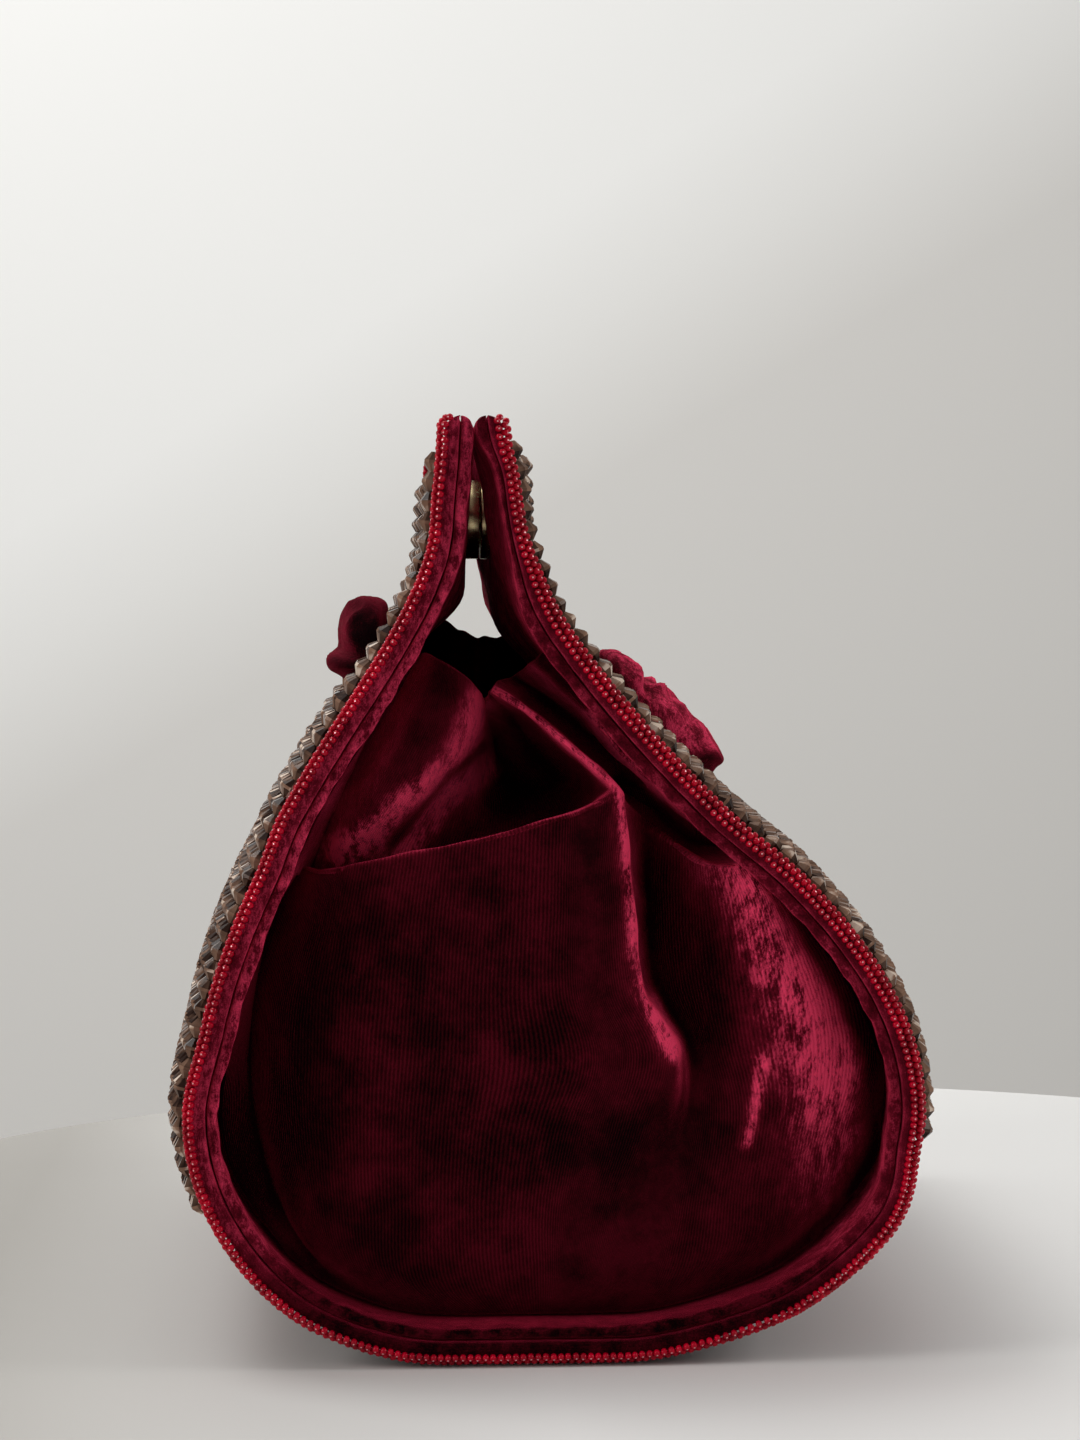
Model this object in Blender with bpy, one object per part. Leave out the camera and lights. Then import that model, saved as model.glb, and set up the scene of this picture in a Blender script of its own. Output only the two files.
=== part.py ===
"""Velvet potli bag: a padded teardrop wrap with crystal faces, folded gussets, a magnetic snap and two bows.

+Z is up, -X is the front, +X the back, -Y the right end and +Y the left end. Sizes are in metres.
"""
import math

import bmesh
import bpy
from mathutils import Matrix, Vector

MM = 0.001

# The wrap: one padded sheet that makes the front, the base and the back
bag_width = 196 * MM
bag_height = 189 * MM
front_belly = 73.5 * MM
back_belly = 74.7 * MM
belly_height = bag_height * 0.265
base_flat_front = 22 * MM
base_flat_back = 12 * MM
corner_round = 30 * MM
neck_axis_x = -14.6 * MM
neck_foot_height = bag_height * 0.889
front_shoulder = (-0.68 * front_belly, 0.627 * bag_height)
front_shoulder_run = (0.136 * front_belly, 0.09 * bag_height)
back_shoulder = (0.514 * back_belly, 0.579 * bag_height)
back_shoulder_run = (0.2 * back_belly, 0.074 * bag_height)
neck_flare = 1.6 * MM
belly_swell = 2.4 * MM
swell_top = 0.75 * bag_height
shell_thickness = 3.0 * MM
lining_thickness = 2.2 * MM
lining_inset = 1.2 * MM
gap = 0.3 * MM
mouth_gap = 0.5 * MM
mouth_lip = 1.2 * MM

# Crystals and seed beads sewn to the shell
crystal_pitch = 4.0 * MM
crystal_height = 4.0 * MM
crystal_valley = 2.5 * MM
crystal_side_margin = 4.3 * MM
crystal_seat = 0.45 * MM
crystal_top = bag_height - 6 * MM
front_crystal_stop = 0.16 * bag_height
back_crystal_stop = 0.233 * bag_height
seed_diameter = 1.9 * MM
seed_rows = 3
seed_first_angle = -28.0

# Gussets: velvet ends sewn inside the lining
gusset_inset = 16 * MM
gusset_thickness = 1.4 * MM
gusset_top = 0.757 * bag_height
fold_unit = 1.0 * MM

# Magnetic snap on the inside of the neck
snap_height = bag_height - 18 * MM
snap_diameter = 18 * MM
snap_closed = 5.6 * MM
socket_thickness = 3.2 * MM
post_diameter = 4.0 * MM
post_length = 1.6 * MM
stem_diameter = 3.0 * MM
washer_diameter = 12 * MM
washer_thickness = 0.8 * MM
running_fit = 0.2 * MM
snap_flat = 12 * MM
snap_fade = 34 * MM

# Velvet bows: length, height and puff of the loops, and where the knot sits
front_bow_height = 0.749 * bag_height
front_bow = {"height": front_bow_height, "length": 0.67 * bag_width, "loop": 10 * MM, "puff": 2.8 * MM, "droop": 0.0}
back_bow_height = 0.65 * bag_height
back_bow = {"height": back_bow_height, "length": 0.71 * bag_width, "loop": 18 * MM, "puff": 4.2 * MM, "droop": 3 * MM}
knot_length = 16 * MM
knot_cloth = 1.3 * MM
waist_share = 0.46
knot_share = 0.13

half_width = bag_width / 2
wrap_depth = shell_thickness + gap + lining_thickness
edge_radius = shell_thickness / 2
seed_stand = gap + seed_diameter + 0.15 * MM

# How the gusset's velvet lies: rows from the base seam to the hem, and in each row from the front seam to
# the back seam. Each point is its share across, its share of the gusset's height, and its depth in fold units
# behind the end of the bag. The fifth and sixth rows make the sagging lip, the sixth column the pleat.
GUSSET_ROWS = (
    ((0, 0.00, 16), (.08, 0.00, 16), (.2, 0.00, 16), (.34, 0.00, 16), (.5, 0.00, 16),
     (.6, 0.00, 16), (.7, 0.00, 16), (.8, 0.00, 16), (.92, 0.00, 16), (1, 0.00, 16)),
    ((0, 0.06, 16), (.07, 0.06, 16), (.19, 0.06, 14), (.32, 0.06, 13), (.46, 0.06, 13),
     (.58, 0.06, 13), (.69, 0.06, 13), (.8, 0.06, 13), (.93, 0.06, 15), (1, 0.06, 16)),
    ((0, 0.20, 16), (.06, 0.20, 18), (.18, 0.20, 13), (.32, 0.20, 10), (.47, 0.20, 9),
     (.61, 0.20, 9), (.71, 0.20, 10), (.83, 0.20, 9), (.95, 0.20, 16), (1, 0.20, 16)),
    ((0, 0.40, 16), (.05, 0.40, 20), (.16, 0.40, 13), (.31, 0.40, 10), (.48, 0.40, 8),
     (.64, 0.41, 8), (.70, 0.41, 12), (.84, 0.40, 7), (.95, 0.40, 18), (1, 0.40, 16)),
    ((0, 0.58, 16), (.05, 0.58, 22), (.14, 0.59, 13), (.31, 0.60, 9), (.50, 0.61, 6),
     (.66, 0.62, 3), (.71, 0.60, 17), (.86, 0.59, 5), (.95, 0.58, 19), (1, 0.58, 16)),
    ((0, 0.68, 16), (.05, 0.68, 19), (.17, 0.69, 10), (.36, 0.71, 5), (.55, 0.73, 2),
     (.69, 0.77, 0), (.75, 0.73, 14), (.88, 0.68, 9), (.96, 0.67, 19), (1, 0.67, 16)),
    ((0, 0.73, 16), (.05, 0.72, 24), (.18, 0.68, 22), (.37, 0.695, 22), (.56, 0.715, 24),
     (.70, 0.80, 3), (.77, 0.78, 21), (.87, 0.755, 20), (.95, 0.745, 20), (1, 0.74, 16)),
    ((0, 0.80, 16), (.08, 0.80, 22), (.20, 0.785, 19), (.33, 0.755, 14), (.56, 0.78, 34),
     (.72, 0.84, 4), (.80, 0.83, 20), (.88, 0.83, 22), (.95, 0.83, 20), (1, 0.83, 16)),
    ((0, 0.90, 16), (.10, 0.90, 20), (.24, 0.88, 19), (.42, 0.845, 15), (.58, 0.85, 34),
     (.72, 0.885, 8), (.80, 0.90, 20), (.88, 0.91, 22), (.95, 0.92, 20), (1, 0.92, 16)),
    ((0, 1.00, 16), (.14, 0.99, 18), (.28, 0.97, 20), (.46, 0.935, 22), (.54, 0.92, 28),
     (.64, 0.935, 14), (.74, 0.96, 22), (.84, 0.98, 24), (.93, 0.99, 20), (1, 1.00, 16)),
)
# The far gusset is less collapsed: shares of the near one's folds and of its sagging hem
left_gusset_fold = 0.55
left_gusset_sag = 0.25


def clear_scene():
    for obj in list(bpy.data.objects):
        bpy.data.objects.remove(obj, do_unlink=True)


def make_material(name, colour, roughness, metallic=0.0):
    material = bpy.data.materials.new(name)
    material.use_nodes = True
    shader = material.node_tree.nodes["Principled BSDF"]
    shader.inputs["Base Color"].default_value = (*colour, 1.0)
    shader.inputs["Roughness"].default_value = roughness
    shader.inputs["Metallic"].default_value = metallic
    return material


def make_object(name, points, faces, material):
    mesh = bpy.data.meshes.new(name)
    mesh.from_pydata([tuple(p) for p in points], [], faces)
    work = bmesh.new()
    work.from_mesh(mesh)
    bmesh.ops.recalc_face_normals(work, faces=work.faces)
    work.to_mesh(mesh)
    work.free()
    mesh.shade_smooth()
    mesh.set_sharp_from_angle(angle=math.radians(40))
    obj = bpy.data.objects.new(name, mesh)
    obj.data.materials.append(material)
    bpy.context.scene.collection.objects.link(obj)
    return obj


def smooth_step(value):
    value = min(1.0, max(0.0, value))
    return value * value * (3 - 2 * value)


def bezier(start, start_handle, end_handle, end, steps):
    """Points of a cubic curve, without its first one."""
    found = []
    for step in range(1, steps + 1):
        t = step / steps
        weights = ((1 - t) ** 3, 3 * t * (1 - t) ** 2, 3 * t * t * (1 - t), t ** 3)
        corners = (start, start_handle, end_handle, end)
        found.append(tuple(sum(w * c[k] for w, c in zip(weights, corners)) for k in (0, 1)))
    return found


def wrap_side(sign, base_flat, belly, shoulder, shoulder_run, steps=(6, 6, 5, 3)):
    """One side of the outer outline, from the flat base to the mouth, as (x, z) points."""
    neck_half = seed_stand + wrap_depth + mouth_gap / 2
    foot = (neck_axis_x + sign * (neck_half + neck_flare), neck_foot_height)
    mouth = (neck_axis_x + sign * neck_half, bag_height)
    base = (sign * base_flat, 0.0)
    widest = (sign * belly, belly_height)
    run_x, run_z = shoulder_run
    points = [base]
    points += bezier(base, (sign * (base_flat + corner_round), 0.0),
                     (widest[0], belly_height * 0.5), widest, steps[0])
    points += bezier(widest, (widest[0], belly_height * 1.52),
                     (shoulder[0] + sign * run_x, shoulder[1] - run_z), shoulder, steps[1])
    points += bezier(shoulder, (shoulder[0] - sign * run_x, shoulder[1] + run_z),
                     (foot[0] + sign * neck_flare, neck_foot_height * 0.91), foot, steps[2])
    neck = bag_height - neck_foot_height
    lip = (mouth[0], bag_height - mouth_lip)
    points += bezier(foot, (foot[0] - sign * neck_flare * 0.6, neck_foot_height + neck * 0.43),
                     (mouth[0], bag_height - neck * 0.33), lip, steps[3])
    points.append(mouth)
    return points


def stations_of(points):
    """(x, z, outward x, outward z) along the outline, which runs front mouth, base, back mouth."""
    found = []
    for index, (x, z) in enumerate(points):
        before = points[max(0, index - 1)]
        after = points[min(len(points) - 1, index + 1)]
        run = Vector((after[0] - before[0], after[1] - before[1])).normalized()
        found.append((x, z, run.y, -run.x))
    return found


def outline():
    front = wrap_side(-1, base_flat_front, front_belly, front_shoulder, front_shoulder_run)
    back = wrap_side(1, base_flat_back, back_belly, back_shoulder, back_shoulder_run)
    return stations_of(front[::-1] + back)


def wrap_node(station, y, depth):
    """A point of the wrap, depth behind its outer face: the middle swells and the ends make room for the seeds."""
    x, z, out_x, out_z = station
    rise = math.sin(math.pi * min(1.0, max(0.0, z / swell_top))) ** 2
    tuck = seed_stand * smooth_step((abs(y) / half_width - 0.62) / 0.36)
    push = belly_swell * rise * (1 - (y / half_width) ** 2) - tuck - depth
    x, z = x + out_x * push, z + out_z * push
    # The closed snap draws the two necks together into flat parallel seats
    pull = 1 - smooth_step((abs(y) - snap_flat) / snap_fade)
    pull *= 1 - smooth_step((abs(station[1] - snap_height) - snap_flat) / snap_flat)
    side = -1 if out_x < 0 else 1
    seat = neck_axis_x + side * (snap_closed / 2 + gap + wrap_depth - depth)
    return Vector((x + (seat - x) * pull if abs(out_x) > 0.5 else x, y, z))


def across_stations(reach):
    """Places across the width, two of them where the snap's flat seat ends."""
    inner = 0.62 * half_width
    return [-reach, -inner, -snap_flat, snap_flat, inner, reach]


def wrap_point(station, y, depth):
    """A point of the wrap on the straight run between its two neighbouring places across the width."""
    places = across_stations(half_width - edge_radius)
    held = min(places[-1], max(places[0], y))
    index = next(k for k in range(1, len(places)) if held <= places[k])
    share = (held - places[index - 1]) / (places[index] - places[index - 1])
    point = wrap_node(station, places[index - 1], depth).lerp(wrap_node(station, places[index], depth), share)
    point.y = y
    return point


def tube_faces(loops, size):
    """Quads between successive closed loops of equal size."""
    faces = []
    for loop in range(loops - 1):
        for k in range(size):
            a, b = loop * size + k, loop * size + (k + 1) % size
            faces.append((a, b, b + size, a + size))
    return faces


def flat_cap(first, across, size):
    """Closes a wrap loop as a strip between its outer and inner rows, with a triangle at each rounded end."""
    strip = [(first + k, first + k + 1, first + size - 3 - k, first + size - 2 - k) for k in range(across - 1)]
    strip.append((first + across - 1, first + across, first + across + 1))
    strip.append((first, first + size - 2, first + size - 1))
    return strip


def inward_diagonals(stations):
    """For each facet of the wrap, whether its first diagonal is the one that lies further inside."""
    ys = across_stations(half_width - edge_radius)
    rows = [[wrap_node(station, y, 0.0) for y in ys] for station in stations]
    found = []
    for station, one, two in zip(stations, rows, rows[1:]):
        out = Vector((station[2], 0.0, station[3]))
        found.append([(one[k] + two[k + 1] - two[k] - one[k + 1]).dot(out) <= 0 for k in range(len(ys) - 1)])
    return found


def wrap_sheet(name, stations, outer, inner, reach, material):
    """A padded sheet that follows the outline between two depths, with round side edges and mouth edges."""
    round_edge = (inner - outer) / 2
    middle = (inner + outer) / 2
    ys = across_stations(reach - round_edge)
    wide = len(ys)
    size = 2 * wide + 2
    points = []
    last = len(stations) - 1
    for index, station in enumerate(stations):
        squeeze = 0.5 if index in (0, last) else 1.0
        top, bottom = middle - round_edge * squeeze, middle + round_edge * squeeze
        points += [wrap_point(station, y, top) for y in ys]
        points.append(wrap_point(station, reach, middle))
        points += [wrap_point(station, y, bottom) for y in reversed(ys)]
        points.append(wrap_point(station, -reach, middle))
    faces = []
    for row, diagonals in enumerate(inward_diagonals(stations)):
        one, two = row * size, (row + 1) * size
        for k, first in enumerate(diagonals):
            for near, far, step in ((one + k, one + k + 1, size), (one + size - 2 - k, one + size - 3 - k, size)):
                if first:
                    pair = [(near, near + step, far + step), (near, far + step, far)]
                else:
                    pair = [(near, near + step, far), (near + step, far + step, far)]
                faces += pair if near == one + k else [face[::-1] for face in pair]
        for k in (wide - 1, wide, size - 2, size - 1):
            after = (k + 1) % size
            faces.append((one + k, two + k, two + after, one + after))
    faces += flat_cap(0, wide, size)
    faces += [tuple(reversed(f)) for f in flat_cap(last * size, wide, size)]
    return make_object(name, points, faces, material)


def arc_lengths(stations):
    total = [0.0]
    for one, two in zip(stations, stations[1:]):
        total.append(total[-1] + math.dist(one[:2], two[:2]))
    return total


def path_point(run, place, y, depth):
    """A point of the wrap at a length along one side, on the straight run between two stations."""
    lengths = arc_lengths(run)
    place = min(lengths[-1], max(0.0, place))
    index = next(k for k in range(1, len(lengths)) if place <= lengths[k])
    share = (place - lengths[index - 1]) / (lengths[index] - lengths[index - 1])
    return wrap_point(run[index - 1], y, depth).lerp(wrap_point(run[index], y, depth), share)


def place_of_height(run, height):
    """The length along one side at which it reaches a height."""
    lengths = arc_lengths(run)
    for index in range(1, len(run)):
        if run[index][1] >= height:
            low, high = run[index - 1][1], run[index][1]
            share = (height - low) / max(high - low, 1e-9)
            return lengths[index - 1] + share * (lengths[index] - lengths[index - 1])
    return lengths[-1]


def side_x(run, y, depth, z):
    """Where the wrap's surface at a depth stands at a height."""
    points = [wrap_point(station, y, depth) for station in run]
    for one, two in reversed(list(zip(points, points[1:]))):
        if one.z <= z <= two.z:
            return one.x + (two.x - one.x) * (z - one.z) / max(two.z - one.z, 1e-9)
    return points[0].x


def upward_run(stations, side):
    """The stations of the front (-1) or the back (+1), from the base up to the mouth."""
    middle = min(range(len(stations)), key=lambda k: (stations[k][1], abs(stations[k][0])))
    return stations[middle::-1] if side < 0 else stations[middle:]


def crystal_face(name, run, stop_height, material):
    """Rows of crystals across one face as one ridged slab: a valley and a peak for each row."""
    low = place_of_height(run, stop_height)
    rows = int((place_of_height(run, crystal_top) - low) / crystal_pitch)
    ys = across_stations(half_width - crystal_side_margin)
    back, top = [], []
    for row in range(rows + 1):
        place = low + row * crystal_pitch
        back.append([path_point(run, place, y, -crystal_seat) for y in ys])
        top.append([path_point(run, place, y, -crystal_valley) for y in ys])
        if row < rows:
            top.append([path_point(run, place + crystal_pitch / 2, y, -crystal_height) for y in ys])
    wide = len(ys)
    points = [p for line in back + top for p in line]
    base = len(back) * wide
    faces = []
    for row in range(len(back) - 1):
        faces += [(row * wide + k, (row + 1) * wide + k, (row + 1) * wide + k + 1, row * wide + k + 1)
                  for k in range(wide - 1)]
    for row in range(len(top) - 1):
        faces += [(base + row * wide + k, base + row * wide + k + 1,
                   base + (row + 1) * wide + k + 1, base + (row + 1) * wide + k) for k in range(wide - 1)]
    for edge in (0, wide - 1):
        for row in range(rows):
            lower = (row * wide + edge, (row + 1) * wide + edge)
            upper = [base + (2 * row + step) * wide + edge for step in (2, 1, 0)]
            faces.append((*lower, *upper))
    for row_back, row_top in ((0, 0), (rows, 2 * rows)):
        faces += [(row_back * wide + k, row_back * wide + k + 1,
                   base + row_top * wide + k + 1, base + row_top * wide + k) for k in range(wide - 1)]
    return make_object(name, points, faces, material)


def seed_border(name, stations, end, material):
    """The rows of seed beads couched round the shell's end edge, as one ribbed band."""
    seat = edge_radius + gap
    step = math.degrees(seed_diameter * 1.08 / (seat + seed_diameter / 2))
    centre_y = half_width - edge_radius
    ring = []
    for row in range(seed_rows):
        middle = seed_first_angle + row * step
        ring.append((middle - step / 2, seat + seed_diameter * 0.62))
        ring.append((middle, seat + seed_diameter))
    last = seed_first_angle + (seed_rows - 0.5) * step
    ring.append((last, seat + seed_diameter * 0.62))
    first = seed_first_angle - step / 2
    ring += [(last, seat), (last / 2, seat), (0.0, seat), (first, seat)]
    points = []
    for station in stations:
        for angle, radius in ring:
            turn = math.radians(max(0.0, angle))
            flat = math.radians(min(0.0, angle)) * (seat + seed_diameter / 2)
            y = end * (centre_y + flat + radius * math.sin(turn))
            points.append(wrap_point(station, y, edge_radius - radius * math.cos(turn)))
    faces = tube_faces(len(stations), len(ring))
    faces += [tuple(range(len(ring)))[::-1], tuple(len(points) - len(ring) + k for k in range(len(ring)))]
    return make_object(name, points, faces, material)


def catmull(values, place):
    """A value on the smooth curve through equally spaced values."""
    index = min(int(place), len(values) - 2)
    t = place - index
    a, b, c, d = (values[min(max(index + k, 0), len(values) - 1)] for k in (-1, 0, 1, 2))
    return 0.5 * (2 * b + (c - a) * t + (2 * a - 5 * b + 4 * c - d) * t * t + (3 * b - a - 3 * c + d) * t ** 3)


def fold_at(row_place, column_place):
    """Share across, share of the height and depth in mm of the folded velvet at a place in the net."""
    found = []
    for part in range(3):
        column = [catmull([point[part] for point in row], column_place) for row in GUSSET_ROWS]
        found.append(catmull(column, row_place))
    return found


def gusset(name, stations, end, fold, sag, material, fine=2):
    """A velvet end, sewn along the lining from base to seam top, collapsed into its folds."""
    seat = wrap_depth + gap + gusset_thickness * 0.7
    front, back = upward_run(stations, -1), upward_run(stations, 1)
    rows = (len(GUSSET_ROWS) - 1) * fine
    columns = (len(GUSSET_ROWS[0]) - 1) * fine
    seam = GUSSET_ROWS[0][0][2]
    middle = []
    for row in range(rows + 1):
        seam_height = fold_at(row / fine, 0)[1]
        for column in range(columns + 1):
            across, height, depth = fold_at(row / fine, column / fine)
            height = seam_height + (height - seam_height) * sag
            inset = gusset_inset + (depth - seam) * fold * fold_unit
            y = end * (half_width - max(inset, fold_unit))
            low = wrap_point(front[0], y, seat).z
            z = low + min(1.0, max(0.0, height)) * (gusset_top - low)
            ends = [side_x(run, y, seat, z) for run in (front, back)]
            x = ends[0] + (ends[1] - ends[0]) * min(1.0, max(0.0, across))
            middle.append(Vector((x, y, z)))
    return cloth_object(name, middle, rows + 1, columns + 1, gusset_thickness, material)


def cloth_object(name, middle, rows, columns, thickness, material):
    """A closed sheet of cloth round a grid of middle points."""
    half = thickness / 2
    near, far = [], []
    for row in range(rows):
        for column in range(columns):
            here = middle[row * columns + column]
            right = middle[row * columns + min(column + 1, columns - 1)]
            left = middle[row * columns + max(column - 1, 0)]
            above = middle[min(row + 1, rows - 1) * columns + column]
            below = middle[max(row - 1, 0) * columns + column]
            normal = (right - left).cross(above - below).normalized()
            near.append(here + normal * half)
            far.append(here - normal * half)
    count = len(middle)
    faces = []
    for row in range(rows - 1):
        for column in range(columns - 1):
            a = row * columns + column
            quad = (a, a + 1, a + columns + 1, a + columns)
            faces.append(quad)
            faces.append(tuple(count + k for k in reversed(quad)))
    rim = [column for column in range(columns)]
    rim += [row * columns + columns - 1 for row in range(1, rows)]
    rim += [(rows - 1) * columns + column for column in range(columns - 2, -1, -1)]
    rim += [row * columns for row in range(rows - 2, 0, -1)]
    for one, two in zip(rim, rim[1:] + rim[:1]):
        faces.append((one, two, count + two, count + one))
    return make_object(name, near + far, faces, material)


def bow_point(run, bow, y, up, out):
    """A point up the slope and out from the crystals, at a place across the face."""
    droop = bow["droop"] * (2 * y / bow["length"]) ** 2
    place = place_of_height(run, bow["height"]) - droop
    return path_point(run, place + up, y, -crystal_height - gap - out)


def bow_lift(share):
    """The loops rise a little where the knot's cloth passes under them."""
    return (knot_cloth + gap) * (1 - smooth_step((share - knot_share) / 0.15))


def bow_section(bow, share, points=14):
    """Outline of the loops at a share of their half length: pinched at the knot, full, then a rounded tip."""
    opening = waist_share + (1 - waist_share) * smooth_step((share - 0.1) / 0.4)
    tip = math.sqrt(max(0.0, 1 - (max(0.0, share - 0.68) / 0.32) ** 2))
    tall = bow["loop"] * opening * (0.3 + 0.7 * tip)
    thick = bow["puff"] * (0.5 + 0.5 * smooth_step((share - 0.1) / 0.35)) * tip
    section = []
    for k in range(points):
        turn = 2 * math.pi * k / points
        lobe = 1 + 0.16 * math.cos(3 * turn) * opening
        up = tall * math.cos(turn) * lobe
        out = thick * (1 + math.sin(turn) * (lobe if math.sin(turn) > 0 else 1.0))
        section.append((up, out))
    return section


def bow_loops(name, run, bow, material):
    """Both loops of a bow as one soft solid through the knot."""
    half = (0.12, 0.22, 0.36, 0.52, 0.7, 0.84, 0.94, 0.995)
    shares = [-s for s in reversed(half)] + [0.0] + list(half)
    points = []
    for share in shares:
        y = share * bow["length"] / 2
        section = bow_section(bow, abs(share))
        size = len(section)
        points += [bow_point(run, bow, y, up, out + bow_lift(abs(share))) for up, out in section]
    faces = tube_faces(len(shares), size)
    faces += [tuple(range(size))[::-1], tuple(len(points) - size + k for k in range(size))]
    return make_object(name, points, faces, material)


def bow_knot(name, run, bow, material):
    """The band of velvet round the middle of the bow."""
    inner, outer = [], []
    ys = [share * knot_length / 2 for share in (-1, -0.5, 0, 0.5, 1)]
    for y in ys:
        share = abs(2 * y / bow["length"])
        section = bow_section(bow, share)
        middle = Vector((0.0, sum(out for _, out in section) / len(section)))
        plump = 1 + 0.3 * (1 - (2 * y / knot_length) ** 2)
        for ring, extra in ((inner, gap), (outer, gap + knot_cloth * plump)):
            for point in section:
                away = Vector(point) - middle
                spread = middle + away * (1 + extra / away.length)
                floor = 0.0 if ring is outer else knot_cloth
                ring.append(bow_point(run, bow, y, spread.x, max(spread.y + bow_lift(share), floor)))
    size = len(inner) // len(ys)
    count = len(inner)
    faces = tube_faces(len(ys), size)
    faces += [tuple(count + k for k in reversed(face)) for face in tube_faces(len(ys), size)]
    for start in (0, (len(ys) - 1) * size):
        for k in range(size):
            one, two = start + k, start + (k + 1) % size
            faces.append((one, two, count + two, count + one))
    return make_object(name, inner + outer, faces, material)


def turned(name, profile, material, seat, side, closed=True, segments=20):
    """A round piece from (axial, radius) points, with flat ends, or a ring when it is not closed."""
    points = [(side * axial, radius * math.cos(2 * math.pi * k / segments),
               radius * math.sin(2 * math.pi * k / segments))
              for axial, radius in profile for k in range(segments)]
    faces = tube_faces(len(profile), segments)
    last = len(points) - segments
    if closed:
        faces += [tuple(range(segments))[::-1], tuple(last + k for k in range(segments))]
    else:
        faces += [(last + k, last + (k + 1) % segments, (k + 1) % segments, k) for k in range(segments)]
    obj = make_object(name, points, faces, material)
    obj.parent = seat
    return obj


def main():
    clear_scene()
    velvet = make_material("velvet", (0.24, 0.01, 0.045), 0.85)
    crystal = make_material("smoky_crystal", (0.42, 0.34, 0.3), 0.12)
    seed = make_material("red_glass", (0.42, 0.01, 0.03), 0.15)
    gold = make_material("gold", (0.86, 0.66, 0.36), 0.25, 1.0)
    steel = make_material("steel", (0.6, 0.6, 0.6), 0.35, 1.0)
    stations = outline()
    shell = wrap_sheet("outer_shell", stations, 0.0, shell_thickness, half_width, velvet)
    lining = wrap_sheet("lining", stations, shell_thickness + gap, wrap_depth, half_width - lining_inset, velvet)
    front, back = upward_run(stations, -1), upward_run(stations, 1)
    crystal_face("front_crystals", front, front_crystal_stop, crystal)
    crystal_face("back_crystals", back, back_crystal_stop, crystal)
    seed_border("right_seed_border", stations, -1, seed)
    seed_border("left_seed_border", stations, 1, seed)
    gusset("right_gusset", stations, -1, 1.0, 1.0, velvet)
    gusset("left_gusset", stations, 1, left_gusset_fold, left_gusset_sag, velvet)
    for name, run, bow in (("front", front, front_bow), ("back", back, back_bow)):
        bow_loops(name + "_bow_loops", run, bow, velvet)
        bow_knot(name + "_bow_knot", run, bow, velvet)
    snap(shell, lining, gold, steel)


def cut(target, cutter):
    cutter.hide_render = True
    cutter.display_type = "WIRE"
    modifier = target.modifiers.new(cutter.name, "BOOLEAN")
    modifier.operation = "DIFFERENCE"
    modifier.object = cutter


def snap(shell, lining, gold, steel):
    """The two halves of the magnetic snap, each riveted through the lining to a washer under it."""
    seat = bpy.data.objects.new("snap_seat", None)
    bpy.context.scene.collection.objects.link(seat)
    seat.location = (neck_axis_x, 0.0, snap_height)
    back = snap_closed / 2
    parting = back - socket_thickness
    radius, stem, bevel = snap_diameter / 2, stem_diameter / 2, 0.5 * MM
    bore = post_diameter / 2 + running_fit
    under = back + gap + lining_thickness + gap
    stem_end = under + washer_thickness
    socket = [(stem_end, stem), (back, stem), (back, radius - bevel), (back - bevel, radius),
              (parting + bevel, radius), (parting, radius - bevel), (parting, bore),
              (parting + post_length + running_fit, bore)]
    turned("snap_socket", socket, gold, seat, -1)
    split = gap - parting
    stud = [(stem_end, stem), (back, stem), (back, radius - bevel), (back - bevel, radius),
            (split + bevel, radius), (split, radius - bevel), (split, post_diameter / 2),
            (split - gap - post_length, post_diameter / 2)]
    turned("snap_stud", stud, gold, seat, 1)
    hole, rim = stem + running_fit, washer_diameter / 2
    ring = [(under, hole), (under, rim), (stem_end, rim), (stem_end, hole)]
    for name, side in (("socket_washer", -1), ("stud_washer", 1)):
        turned(name, ring, steel, seat, side, closed=False)
        drill = turned(name + "_hole", [(back - gap, hole), (under + gap, hole)], steel, seat, side)
        pocket = turned(name + "_pocket", [(under - gap * 0.5, rim + running_fit),
                                           (stem_end + gap, rim + running_fit)], steel, seat, side)
        cut(lining, drill)
        cut(shell, pocket)


main()
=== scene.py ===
# Velvet evening bag with crystal faces, seen end on. Sizes are in metres unless a name says mm.
import math

import bmesh
import bpy
import numpy as np
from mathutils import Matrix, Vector, noise


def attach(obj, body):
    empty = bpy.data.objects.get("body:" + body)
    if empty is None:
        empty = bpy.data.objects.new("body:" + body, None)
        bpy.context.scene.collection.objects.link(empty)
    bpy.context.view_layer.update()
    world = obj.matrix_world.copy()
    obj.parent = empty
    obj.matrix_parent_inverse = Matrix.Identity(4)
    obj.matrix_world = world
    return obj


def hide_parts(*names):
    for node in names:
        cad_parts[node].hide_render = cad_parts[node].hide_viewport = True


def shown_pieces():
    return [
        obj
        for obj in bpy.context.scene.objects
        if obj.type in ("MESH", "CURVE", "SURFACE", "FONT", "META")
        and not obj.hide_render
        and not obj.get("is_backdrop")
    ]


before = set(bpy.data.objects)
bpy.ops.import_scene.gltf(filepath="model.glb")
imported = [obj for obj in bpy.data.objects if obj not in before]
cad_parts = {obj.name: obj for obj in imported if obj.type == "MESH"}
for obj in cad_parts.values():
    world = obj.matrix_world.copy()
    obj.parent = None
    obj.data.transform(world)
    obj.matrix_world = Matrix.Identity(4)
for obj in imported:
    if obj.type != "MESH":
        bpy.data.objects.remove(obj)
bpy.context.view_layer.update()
mm = 0.001
print("frame loaded")

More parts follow.
